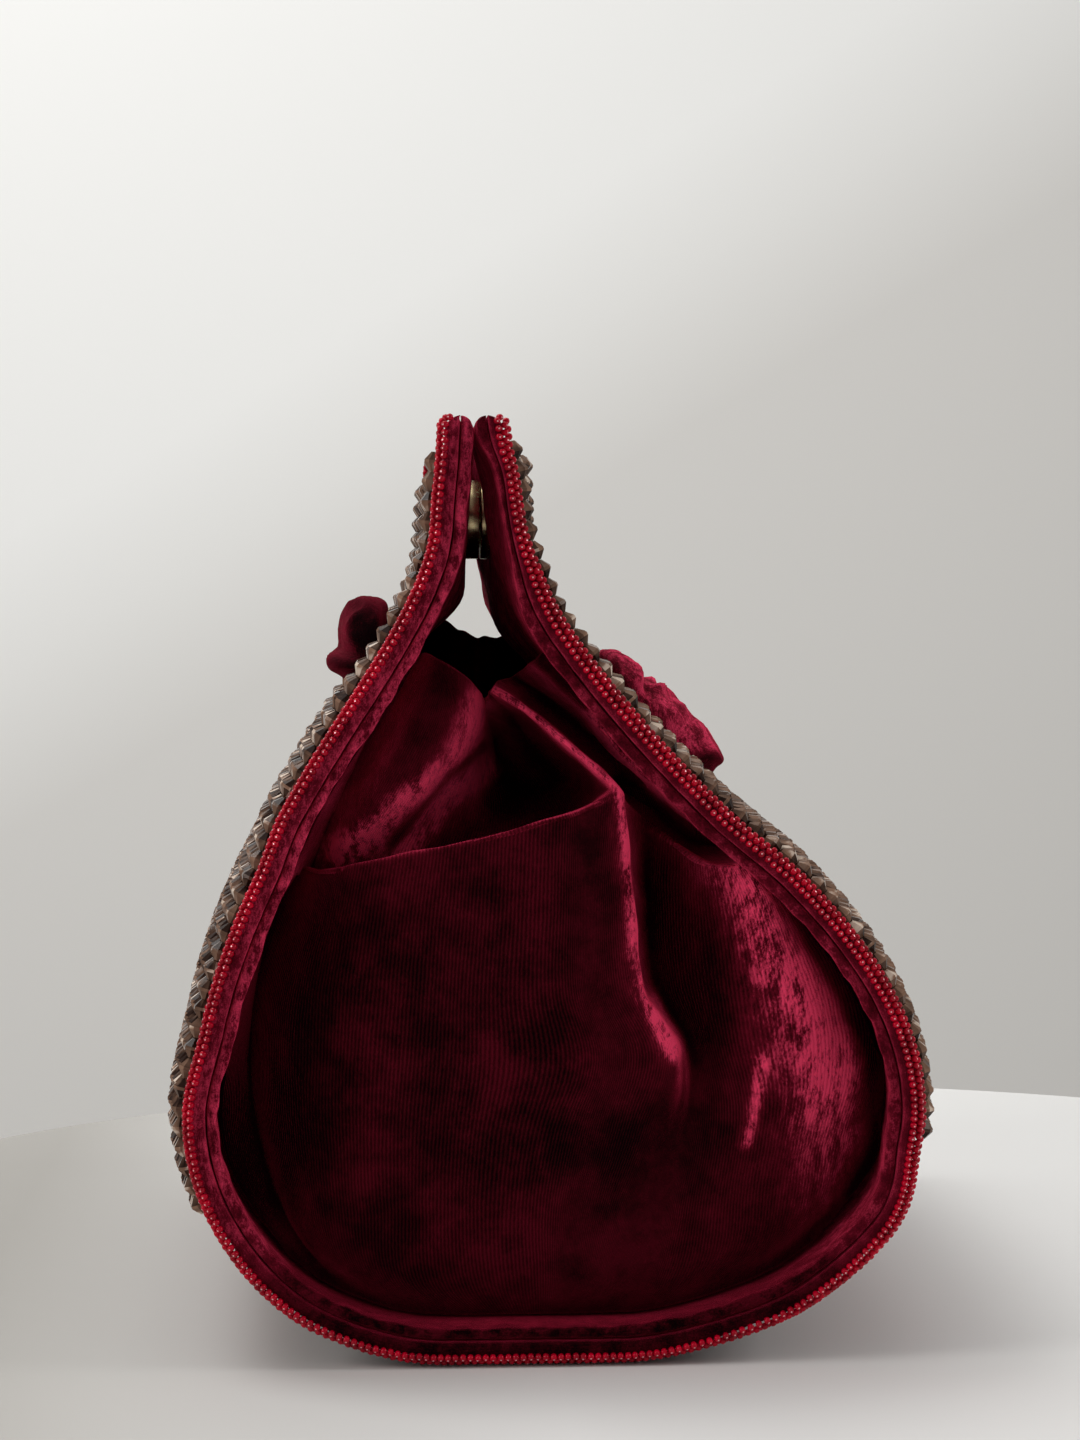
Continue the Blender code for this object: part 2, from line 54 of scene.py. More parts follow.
# the wrap: one padded sheet bent into a teardrop, whose ends face the camera
wrap = {
    "width": 0.196,
    "height": 0.189,
    "bellyHeight": 0.265,  # share of the height where it is widest
    "cornerRound": 0.030,
    "neckAxis": -0.0146,
    "neckFoot": 0.889,  # where the narrow neck starts, as a share of the height
    "neckFlare": 0.0016,
    "swell": 0.0024,
    "swellTop": 0.75,  # the swell ends here
    "shell": 0.0030,
    "lining": 0.0022,
    "gap": 0.0003,
    "mouthGap": 0.0005,
    "seedStand": 0.00235,
    "middleTuck": 0.45,  # share of seedStand that is left away from the ends
    "neckSlim": (0.0, 0.48),  # front and back
    "snapShift": 0.0016,
    "snapHeight": 0.171,
    "snapClosed": 0.0056,
    "snapFlat": 0.012,
    "snapFade": 0.044,
    "snapFrom": 0.6,  # nothing is pulled below this share of the height
    "fadeBelow": (0.012, 0.024),
    "neckBow": 0.0012,
    "neckDraw": 0.0011,
    "baseDrop": 0.0006,
}
# where a change of shape starts and how long it takes, in shares of the size or in metres; amounts come first
fades = {
    "end": (0.80, 0.18),
    "upper": (0.62, 0.2),
    "neckFrom": (0.81, 0.08),
    "neckTo": (0.94, 0.06),
    "slim": (0.045, 0.03),
    "bowFrom": (0.148, 0.014),
    "bowTo": (0.175, 0.011),
    "drawFrom": (0.78, 0.10),
    "drawTo": (0.094, 0.03),
    "lean": ((0.0015, 0.098, 0.014), (0.0005, 0.162, 0.012)),
    "leanAcross": 0.06,
    "fullFrom": 0.010,
    "fuller": ((0.0018, 0.050, 0.018), (0.0040, 0.024, 0.020)),
    "base": 0.03,
}
# each side of the outline, in shares of its belly and the height
wrapSides = {
    "front": {"sign": -1, "flat": 0.022, "belly": 0.0735, "shoulder": (-0.68, 0.627), "run": (0.136, 0.09)},
    "back": {"sign": 1, "flat": 0.012, "belly": 0.0747, "shoulder": (0.514, 0.579), "run": (0.2, 0.074)},
}
handles = {"belly": 0.5, "aboveBelly": 1.52, "foot": 0.91, "flare": 0.6, "neckLow": 0.43, "neckHigh": 0.33}
wrapDepth = wrap["shell"] + wrap["gap"] + wrap["lining"]
halfWidth = wrap["width"] / 2
liningHalf = halfWidth - 0.0012
endY = halfWidth + 0.002  # the bag's end, from which the depth of a fold is measured


def smoothStep(value):
    value = np.clip(value, 0.0, 1.0)
    return value * value * (3 - 2 * value)


def riseFrom(value, start, length):  # 0 up to the start, 1 a length further on
    return smoothStep((value - start) / length)


def bezier(start, startHandle, endHandle, end, steps):
    t = np.linspace(0, 1, steps + 1)[1:, None]
    corners = [np.array(p) for p in (start, startHandle, endHandle, end)]
    weights = ((1 - t) ** 3, 3 * t * (1 - t) ** 2, 3 * t * t * (1 - t), t**3)
    return sum(w * c for w, c in zip(weights, corners))


def wrapSide(side):
    sign, belly, height = side["sign"], side["belly"], wrap["height"]
    foot = height * wrap["neckFoot"]
    neck = height - foot
    neckHalf = wrap["seedStand"] + wrapDepth + wrap["mouthGap"] / 2
    flare = wrap["neckFlare"]
    footX = wrap["neckAxis"] + sign * (neckHalf + flare)
    mouthX = wrap["neckAxis"] + sign * neckHalf
    bellyZ = height * wrap["bellyHeight"]
    base, widest = (sign * side["flat"], 0.0), (sign * belly, bellyZ)
    corner = (sign * (side["flat"] + wrap["cornerRound"]), 0)
    shoulder = (side["shoulder"][0] * belly, side["shoulder"][1] * height)
    run = (side["run"][0] * belly, side["run"][1] * height)
    low = (shoulder[0] + sign * run[0], shoulder[1] - run[1])
    high = (shoulder[0] - sign * run[0], shoulder[1] + run[1])
    parts = [np.array([base])]
    parts.append(bezier(base, corner, (widest[0], bellyZ * handles["belly"]), widest, 60))
    parts.append(bezier(widest, (widest[0], bellyZ * handles["aboveBelly"]), low, shoulder, 60))
    parts.append(bezier(shoulder, high, (footX + sign * flare, foot * handles["foot"]), (footX, foot), 50))
    lowHandle = (footX - sign * flare * handles["flare"], foot + neck * handles["neckLow"])
    highHandle = (mouthX, height - neck * handles["neckHigh"])
    parts.append(bezier((footX, foot), lowHandle, highHandle, (mouthX, height), 24))
    return np.concatenate(parts)


frontSide, backSide = wrapSide(wrapSides["front"]), wrapSide(wrapSides["back"])
outlinePoints = np.concatenate([frontSide[::-1], backSide])
stepLengths = np.hypot(*np.diff(outlinePoints, axis=0).T)
rawLength = np.concatenate([[0], np.cumsum(stepLengths)])
outlineLength = rawLength[-1]
pathS = np.linspace(0, outlineLength, 1200)
pathX, pathZ = (np.interp(pathS, rawLength, outlinePoints[:, k]) for k in (0, 1))
turnX, turnZ = np.gradient(pathX), np.gradient(pathZ)
for _ in range(12):  # evens out the joins between the curves
    turnX[1:-1] = (turnX[:-2] + turnX[1:-1] * 2 + turnX[2:]) / 4
    turnZ[1:-1] = (turnZ[:-2] + turnZ[1:-1] * 2 + turnZ[2:]) / 4
turnLength = np.hypot(turnX, turnZ)
outX, outZ = turnZ / turnLength, -turnX / turnLength
baseS = pathS[np.argmin(pathZ + abs(pathX) * 0.001)]


# place along the outline where the front (-1) or the back (1) reaches a height
def sideS(side, z):
    part = pathS < baseS if side < 0 else pathS > baseS
    order = np.argsort(pathZ[part], kind="stable")
    return np.interp(z, pathZ[part][order], pathS[part][order])


# points of the wrap at places along the outline and across the width, depth behind the outer face
def wrapPoints(s, y, depth):
    s, y, depth = np.broadcast_arrays(*(np.asarray(value, float) for value in (s, y, depth)))
    x, z = np.interp(s, pathS, pathX), np.interp(s, pathS, pathZ)
    nx, nz = np.interp(s, pathS, outX), np.interp(s, pathS, outZ)
    front, away, level = s < baseS, abs(y), z / wrap["height"]
    # the faces swell in the middle and lie back where the seed beads stand
    rise = np.sin(np.pi * np.clip(z / (wrap["swellTop"] * wrap["height"]), 0, 1)) ** 2
    endWeight = np.maximum(riseFrom(away / halfWidth, *fades["end"]), riseFrom(level, *fades["upper"]))
    tuck = wrap["seedStand"] * (wrap["middleTuck"] + (1 - wrap["middleTuck"]) * endWeight)
    neckWeight = riseFrom(level, *fades["neckFrom"]) * (1 - riseFrom(level, *fades["neckTo"]))
    slim = 1 - np.where(front, *wrap["neckSlim"]) * neckWeight * riseFrom(away, *fades["slim"])
    push = wrap["swell"] * rise * (1 - (y / halfWidth) ** 2) - tuck - depth * np.where(depth > 0, slim, 1)
    # the neck bows out at the back, is drawn in at the front, and leans to the front at the ends
    neckBow = riseFrom(z, *fades["bowFrom"]) * (1 - riseFrom(z, *fades["bowTo"]))
    drawn = riseFrom(level, *fades["drawFrom"]) * smoothStep((fades["drawTo"][0] - away) / fades["drawTo"][1])
    px = x + nx * push + np.where(front, wrap["neckDraw"] * drawn, wrap["neckBow"] * neckBow)
    lean = sum(amount * riseFrom(z, *place) for amount, *place in fades["lean"])
    px = px - lean * riseFrom(away, wrap["snapFlat"], fades["leanAcross"])
    # both sides are fuller near the base
    low = smoothStep(z / fades["fullFrom"])
    frontLow, backLow = (amount * low * (1 - riseFrom(z, *place)) for amount, *place in fades["fuller"])
    px = px + np.where(front, -frontLow, backLow)
    # the snap pulls the middle of the neck together
    pull = 1 - riseFrom(away, wrap["snapFlat"], wrap["snapFade"])
    fade = np.where(z < wrap["snapHeight"], np.where(front, *wrap["fadeBelow"]), wrap["snapFlat"])
    pull = pull * (1 - riseFrom(abs(z - wrap["snapHeight"]), wrap["snapFlat"], fade))
    seatDepth = wrap["snapClosed"] / 2 + wrap["gap"] + wrapDepth - depth
    seat = wrap["neckAxis"] + wrap["snapShift"] + np.where(front, -1.0, 1.0) * seatDepth
    px = px + (seat - px) * pull * (z > wrap["snapFrom"] * wrap["height"])
    return np.stack([px, y, z + nz * push - wrap["baseDrop"] * (1 - smoothStep(z / fades["base"]))], axis=-1)


def outward(s):
    return np.stack([np.interp(s, pathS, outX), np.zeros_like(s), np.interp(s, pathS, outZ)], axis=-1)


# smooth noise between -1 and 1 at each point
def ripple(points, size, seed):
    flat = points.reshape(-1, 3)
    shift = Vector((seed * 7.3, seed * 3.1, seed * 5.7))
    found = [noise.noise(Vector(p) / size + shift) for p in flat]
    return np.array(found).reshape(points.shape[:-1])


# meshes
def addMesh(name, points, faces):
    mesh = bpy.data.meshes.new(name)
    mesh.from_pydata(points, [], faces)
    obj = bpy.data.objects.new(name, mesh)
    bpy.context.scene.collection.objects.link(obj)
    return obj


def addValues(mesh, name, domain, values):
    layer = mesh.attributes.new(name, "FLOAT", domain)
    layer.data.foreach_set("value", values.astype(np.float32).ravel())


# a quad mesh through rows of points, with a UV map in metres that follows the cloth
def gridObject(name, points, uCoords, vCoords, closed=False, caps=False, brushed=None):
    rows, columns = points.shape[:2]
    around = columns if closed else columns - 1
    i, j = np.meshgrid(np.arange(rows - 1), np.arange(around), indexing="ij")
    nextI, nextJ = (i + 1) * columns, (j + 1) % columns
    faces = np.stack([i * columns + j, i * columns + nextJ, nextI + nextJ, nextI + j], -1)
    faceList = faces.reshape(-1, 4).tolist()
    corners = ((j, i), (j + 1, i), (j + 1, i + 1), (j, i + 1))
    uv = np.stack([np.stack([uCoords[column], vCoords[row]], -1) for column, row in corners], -2)
    uvList = uv.reshape(-1, 2)
    if caps:
        faceList += [list(range(columns))[::-1], [(rows - 1) * columns + k for k in range(columns)]]
        ends = [np.stack([uCoords[:columns], np.full(columns, v)], -1) for v in (vCoords[0], vCoords[-1])]
        uvList = np.concatenate([uvList, ends[0][::-1], ends[1]])
    obj = addMesh(name, points.reshape(-1, 3).tolist(), faceList)
    mesh = obj.data
    layer = mesh.uv_layers.new(name="clothUV")
    layer.data.foreach_set("uv", uvList.astype(np.float32).ravel())
    # painted light and shade, kept as a value on the points
    if brushed is not None:
        addValues(mesh, "brushed", "POINT", np.broadcast_to(brushed, points.shape[:2]))
    if closed:
        pointOutwards(obj)
    mesh.shade_smooth()
    return obj


def pointOutwards(obj):
    work = bmesh.new()
    work.from_mesh(obj.data)
    bmesh.ops.recalc_face_normals(work, faces=work.faces)
    work.to_mesh(obj.data)
    work.free()


# keeps the shape that the modifiers give and takes the modifiers off
def applyModifiers(obj):
    bpy.context.view_layer.update()
    plain = bpy.data.meshes.new_from_object(obj.evaluated_get(bpy.context.evaluated_depsgraph_get()))
    plain.name = obj.name
    old = obj.data
    obj.modifiers.clear()
    obj.data = plain
    bpy.data.meshes.remove(old)
    return obj


def addSolidify(obj, thickness):
    modifier = obj.modifiers.new("thickness", "SOLIDIFY")
    modifier.thickness = thickness
    modifier.offset = 0.0
    modifier.use_even_offset = False
    return applyModifiers(obj)


# materials
def newMaterial(name):
    material = bpy.data.materials.new(name)
    material.use_nodes = True
    tree = material.node_tree
    return material, tree, tree.nodes["Principled BSDF"]


def setInputs(node, values):
    for key, value in values.items():
        node.inputs[key].default_value = value


def addNode(tree, kind, **settings):
    node = tree.nodes.new(kind)
    for key, value in settings.items():
        if key in node.inputs:
            node.inputs[key].default_value = value
        else:
            setattr(node, key, value)
    return node


def join(source, output, target, place):
    source.id_data.links.new(source.outputs[output], target.inputs[place])


def rampStops(node, stops):
    ramp = node.color_ramp
    while len(ramp.elements) < len(stops):
        ramp.elements.new(0.5)
    for element, (position, colour) in zip(ramp.elements, stops):
        element.position = position
        element.color = (*colour, 1.0)


velvetLooks = {
    "black": (0.0032, 0.0002, 0.0006),
    "deep": (0.032, 0.0011, 0.0036),
    "middle": (0.135, 0.0045, 0.015),
    "bright": (0.90, 0.055, 0.145),
    "stops": ((0.0, "black"), (0.16, "deep"), (0.48, "middle"), (1.0, "bright")),
    "sheen": (1.0, 0.04, 0.12, 1.0),
    "pileSize": 3400.0,
    "ribPitch": 0.00052,
    "stretch": (1.5, 1.0, 0.62),  # crush marks run up and down
    "slant": (0.0, 0.45, 0.0),
    "rimPower": 1.6,
    "finish": {"Roughness": 0.85, "Specular IOR Level": 0.02, "Sheen Roughness": 0.3},
}


def addRange(tree, source, fromMin, fromMax, toMin, toMax):
    node = addNode(tree, "ShaderNodeMapRange")
    setInputs(node, {"From Min": fromMin, "From Max": fromMax, "To Min": toMin, "To Max": toMax})
    tree.links.new(source, node.inputs["Value"])
    return node.outputs["Result"]


def addMath(tree, operation, first, second):
    node = addNode(tree, "ShaderNodeMath", operation=operation)
    for socket, value in zip(node.inputs, (first, second)):
        if isinstance(value, float):
            socket.default_value = value
        else:
            tree.links.new(value, socket)
    return node.outputs[0]


# crushed velvet: a painted sheen keeps it dark where it faces you and bright where it turns away, painted
# light and shade come from a value on the points, and it has faint woven ribs
def makeVelvet(name, sheenWeight, rim, patch, rib, lift, size, crushSize, grainDepth, shift=0.0):
    material, tree, shader = newMaterial(name)
    looks = velvetLooks
    place = addNode(tree, "ShaderNodeTexCoord")
    mapping = addNode(tree, "ShaderNodeMapping")
    mapping.inputs["Location"].default_value = (shift, shift * 0.7, shift * 1.3)
    join(place, "Object", mapping, "Vector")
    patches = addNode(tree, "ShaderNodeTexNoise", Scale=size, Detail=5.0, Roughness=0.72)
    crush = addNode(tree, "ShaderNodeTexNoise", Scale=crushSize, Detail=6.0, Roughness=0.85)
    pile = addNode(tree, "ShaderNodeTexNoise", Scale=looks["pileSize"], Detail=1.0, Roughness=0.6)
    brushed = addNode(tree, "ShaderNodeMapping")
    setInputs(brushed, {"Scale": looks["stretch"], "Rotation": looks["slant"]})
    join(mapping, "Vector", brushed, "Vector")
    for texture, source in ((patches, mapping), (crush, brushed), (pile, mapping)):
        join(source, "Vector", texture, "Vector")
    ribs = addNode(tree, "ShaderNodeTexWave", Scale=0.314 / looks["ribPitch"], Distortion=1.2, Detail=1.0)
    ribs.inputs["Detail Scale"].default_value = 2.0
    uvMap = addNode(tree, "ShaderNodeUVMap", uv_map="clothUV")
    join(uvMap, "UV", ribs, "Vector")
    ribHeight = addMath(tree, "MULTIPLY", ribs.outputs["Fac"], rib)
    fuzz = addMath(tree, "ADD", ribHeight, pile.outputs["Fac"])
    crushBump = addNode(tree, "ShaderNodeBump", Strength=0.5, Distance=0.0009)
    join(crush, "Fac", crushBump, "Height")
    fuzzBump = addNode(tree, "ShaderNodeBump", Strength=0.6, Distance=0.0003)
    tree.links.new(fuzz, fuzzBump.inputs["Height"])
    join(crushBump, "Normal", fuzzBump, "Normal")
    # painted sheen: the colour lightens where the surface turns away from the camera
    facing = addNode(tree, "ShaderNodeLayerWeight", Blend=0.5)
    join(crushBump, "Normal", facing, "Normal")
    turnedAway = addMath(tree, "POWER", facing.outputs["Facing"], looks["rimPower"])
    edge = addMath(tree, "MULTIPLY", turnedAway, rim)
    paintedLightAttribute = addNode(tree, "ShaderNodeAttribute", attribute_name="brushed")
    streaks = addRange(tree, crush.outputs["Fac"], 0.41, 0.58, 0.22, 1.05)
    # painted light is streaky, and painted shade below zero is evenly dark
    paintedLit, flat = (addMath(tree, part, paintedLightAttribute.outputs["Fac"], 0.0) for part in ("MAXIMUM", "MINIMUM"))
    lifted = addMath(tree, "ADD", addMath(tree, "MULTIPLY", paintedLit, streaks), flat)
    blotches = addRange(tree, patches.outputs["Fac"], 0.40, 0.60, lift - patch, lift + patch)
    grain = addRange(tree, fuzz, 0.3, 0.8 + rib, -grainDepth, grainDepth)
    tone = addMath(tree, "ADD", addMath(tree, "ADD", edge, lifted), addMath(tree, "ADD", blotches, grain))
    ramp = addNode(tree, "ShaderNodeValToRGB")
    rampStops(ramp, [(stop, looks[tint]) for stop, tint in looks["stops"]])
    tree.links.new(tone, ramp.inputs["Fac"])
    join(ramp, "Color", shader, "Base Color")
    join(fuzzBump, "Normal", shader, "Normal")
    setInputs(shader, {**looks["finish"], "Sheen Weight": sheenWeight, "Sheen Tint": looks["sheen"]})
    return material


# glass beads, clear in part: the tone changes from facet to facet as painted reflections, the palest a
# painted glint, and drifts from bead to bead
def makeGlass(name, tones, finish):
    material, tree, shader = newMaterial(name)
    place = addNode(tree, "ShaderNodeTexCoord")
    drift = addNode(tree, "ShaderNodeTexNoise", Scale=260.0, Detail=1.0)
    join(place, "Object", drift, "Vector")
    facet = addNode(tree, "ShaderNodeAttribute", attribute_name="facet")
    beadTone = addRange(tree, drift.outputs["Fac"], 0.3, 0.7, -0.3, 0.3)
    tone = addMath(tree, "ADD", facet.outputs["Fac"], beadTone)
    ramp = addNode(tree, "ShaderNodeValToRGB")
    rampStops(ramp, list(zip((0.1, 0.88, 1.0), tones)))
    tree.links.new(tone, ramp.inputs["Fac"])
    join(ramp, "Color", shader, "Base Color")
    setInputs(shader, finish)
    return material


def makeMetal(name, colour, roughness):
    material, tree, shader = newMaterial(name)
    place = addNode(tree, "ShaderNodeTexCoord")
    wear = addNode(tree, "ShaderNodeTexNoise", Scale=900.0, Detail=4.0, Roughness=0.6)
    join(place, "Object", wear, "Vector")
    spread = addRange(tree, wear.outputs["Fac"], 0.0, 1.0, roughness * 0.7, roughness * 1.4)
    tree.links.new(spread, shader.inputs["Roughness"])
    bump = addNode(tree, "ShaderNodeBump", Strength=0.08, Distance=0.0001)
    join(wear, "Fac", bump, "Height")
    join(bump, "Normal", shader, "Normal")
    setInputs(shader, {"Base Color": (*colour, 1.0), "Metallic": 1.0})
    return material


shellVelvet = makeVelvet("shellVelvet", sheenWeight=0.5, rim=0.3, patch=0.09, rib=0.1, lift=0.36,
                         size=260.0, crushSize=520.0, grainDepth=0.10)
gussetVelvet = makeVelvet("gussetVelvet", sheenWeight=0.3, rim=0.70, patch=0.10, rib=0.9, lift=0.17,
                          size=45.0, crushSize=240.0, grainDepth=0.13, shift=0.13)
liningVelvet = makeVelvet("liningVelvet", sheenWeight=0.5, rim=0.3, patch=0.15, rib=0.1, lift=0.34,
                          size=230.0, crushSize=480.0, grainDepth=0.10, shift=0.31)
bowVelvet = makeVelvet("bowVelvet", sheenWeight=0.35, rim=0.40, patch=0.09, rib=0.3, lift=0.05,
                       size=90.0, crushSize=170.0, grainDepth=0.08, shift=0.57)
# glass: its dark, light and painted glint tones
glassLooks = {
    "smokyCrystal": {
        "tones": ((0.028, 0.012, 0.008), (0.33, 0.190, 0.128), (0.80, 0.64, 0.52)),
        "finish": {"Transmission Weight": 0.20, "Roughness": 0.03, "Metallic": 0.0, "IOR": 1.12,
                   "Coat Weight": 0.06, "Coat IOR": 1.8, "Coat Roughness": 0.02},
    },
    "redGlass": {
        "tones": ((0.22, 0.0, 0.008), (0.60, 0.0, 0.022), (0.80, 0.42, 0.46)),
        "finish": {"Transmission Weight": 0.0, "Roughness": 0.12, "Metallic": 0.10, "IOR": 1.15,
                   "Coat Weight": 0.22, "Coat IOR": 1.5, "Coat Roughness": 0.02},
    },
}
smokyCrystal, redGlass = (makeGlass(name, **looks) for name, looks in glassLooks.items())
goldMetal = makeMetal("goldMetal", (0.86, 0.66, 0.38), 0.24)
steelMetal = makeMetal("steelMetal", (0.62, 0.61, 0.60), 0.34)
print("materials ready")


# 1 along a sheet, falling towards 0 at its two ends where it turns over
def rollIn(along, roll):
    near = np.clip(np.minimum(along, outlineLength - along) / roll, 0, 1)
    return np.sqrt(np.clip(1 - (1 - near) ** 2, 0.003, 1))


# the padded sheets: outer shell and lining, each a closed loop of cloth with rolled edges
padding = {
    "columns": 57,
    "rows": 300,
    "square": 0.7,  # 1 rolls the edge round, less squares it
    "roll": 1.8,
    "edge": (0.012, 0.010),
    "ripples": (0.012, 0.0042),
    "middle": 0.25,
    "hiddenSide": 0.2,  # share of the lift on the side that faces the other sheet
    "baseCalm": (0.001, 0.004),
    "lowFade": (0.004, 0.022),
    "frontFade": 0.05,
    "backShare": 0.3,
    "lowDark": 0.32,
}
# each sheet's stitch pitch and drift, and the painted light on its front side
sheets = {
    "shell": {"pitch": 0.0062, "stitch": 0.00012, "drift": 0.0004, "brushed": 0.28, "seed": 3},
    "lining": {"pitch": 0.0085, "stitch": 0.00010, "drift": 0.0005, "brushed": 0.42, "seed": 11},
}


def paddedSheet(name, outer, inner, half, look, outside, material):
    radius, middle = (inner - outer) / 2, (inner + outer) / 2
    columns = padding["columns"]
    across = np.linspace(-(half - radius), half - radius, columns)
    turn = np.linspace(-math.pi / 2, math.pi / 2, 11)[1:-1]
    edgeY = np.cos(turn) ** padding["square"] * radius
    edgeD = np.sign(np.sin(turn)) * abs(np.sin(turn)) ** padding["square"] * radius
    loopY = np.concatenate([across, half - radius + edgeY, across[::-1], -(half - radius) - edgeY[::-1]])
    outerRun, innerRun = np.full(columns, outer), np.full(columns, inner)
    loopD = np.concatenate([outerRun, middle + edgeD, innerRun, middle + edgeD[::-1]])
    roll = radius * padding["roll"]
    pivot = inner if outside else outer
    ease = (1 - np.cos(np.linspace(0, math.pi / 2, 8)))[::-1] * roll
    straight = np.linspace(roll, outlineLength - roll, padding["rows"])[1:-1]
    along = np.concatenate([ease[::-1], straight, outlineLength - ease])
    depth = pivot + (loopD[None, :] - pivot) * rollIn(along, roll)[:, None]
    points = wrapPoints(along[:, None], loopY[None, :], depth)
    # stitches draw the edge in, and the padding rises a little between them
    edgeWeight = riseFrom(abs(loopY), half - padding["edge"][0], padding["edge"][1])
    stitch = np.sin(along[:, None] * 2 * math.pi / look["pitch"] + np.sign(loopY)[None, :])
    broad, fine = (ripple(points, size, look["seed"] + k) for k, size in enumerate(padding["ripples"]))
    drift = broad * look["drift"] + fine * look["drift"] * 0.8
    side = np.where(loopD[None, :] > middle + 1e-6, -1.0, 1.0)
    loose = padding["middle"] + (1 - padding["middle"]) * edgeWeight[None, :]
    lift = (stitch * look["stitch"] * edgeWeight[None, :] + drift * loose) * side
    lift *= np.where((loopD > middle) == outside, padding["hiddenSide"], 1.0)[None, :]
    height = wrapPoints(along, 0, 0)[:, 2:]
    calm = riseFrom(height, *padding["baseCalm"])  # the base stays flat
    flatBase = np.where(loopD[None, :] < middle, np.maximum(calm, edgeWeight[None, :] * 0.5), 1.0)
    points += outward(along)[:, None, :] * (lift * flatBase)[..., None]
    points[..., 2] = np.maximum(points[..., 2], 0.0)
    uCoords = np.concatenate([[0], np.cumsum(np.hypot(np.diff(loopY), np.diff(loopD)))])
    uCoords = np.append(uCoords, uCoords[-1] + 0.001)
    # painted light and shade: the front side is painted lighter than the back, and the cloth near the base is
    # painted darker
    lowness = 1 - riseFrom(height, *padding["lowFade"])
    frontShare = smoothStep((baseS - padding["frontFade"] - along) / padding["frontFade"])[:, None]
    bright = padding["backShare"] + (1 - padding["backShare"]) * frontShare
    paintedLightValues = look["brushed"] * bright - padding["lowDark"] * lowness
    obj = gridObject(name, points, uCoords, along, True, True, paintedLightValues)
    obj.data.materials.append(material)
    return obj


liningStart = wrap["shell"] + wrap["gap"]
shell = paddedSheet("paddedShell", 0.0, wrap["shell"], halfWidth, sheets["shell"], True, shellVelvet)
lining = paddedSheet("paddedLining", liningStart, wrapDepth, liningHalf, sheets["lining"], False,
                     liningVelvet)
print("shell and lining ready")

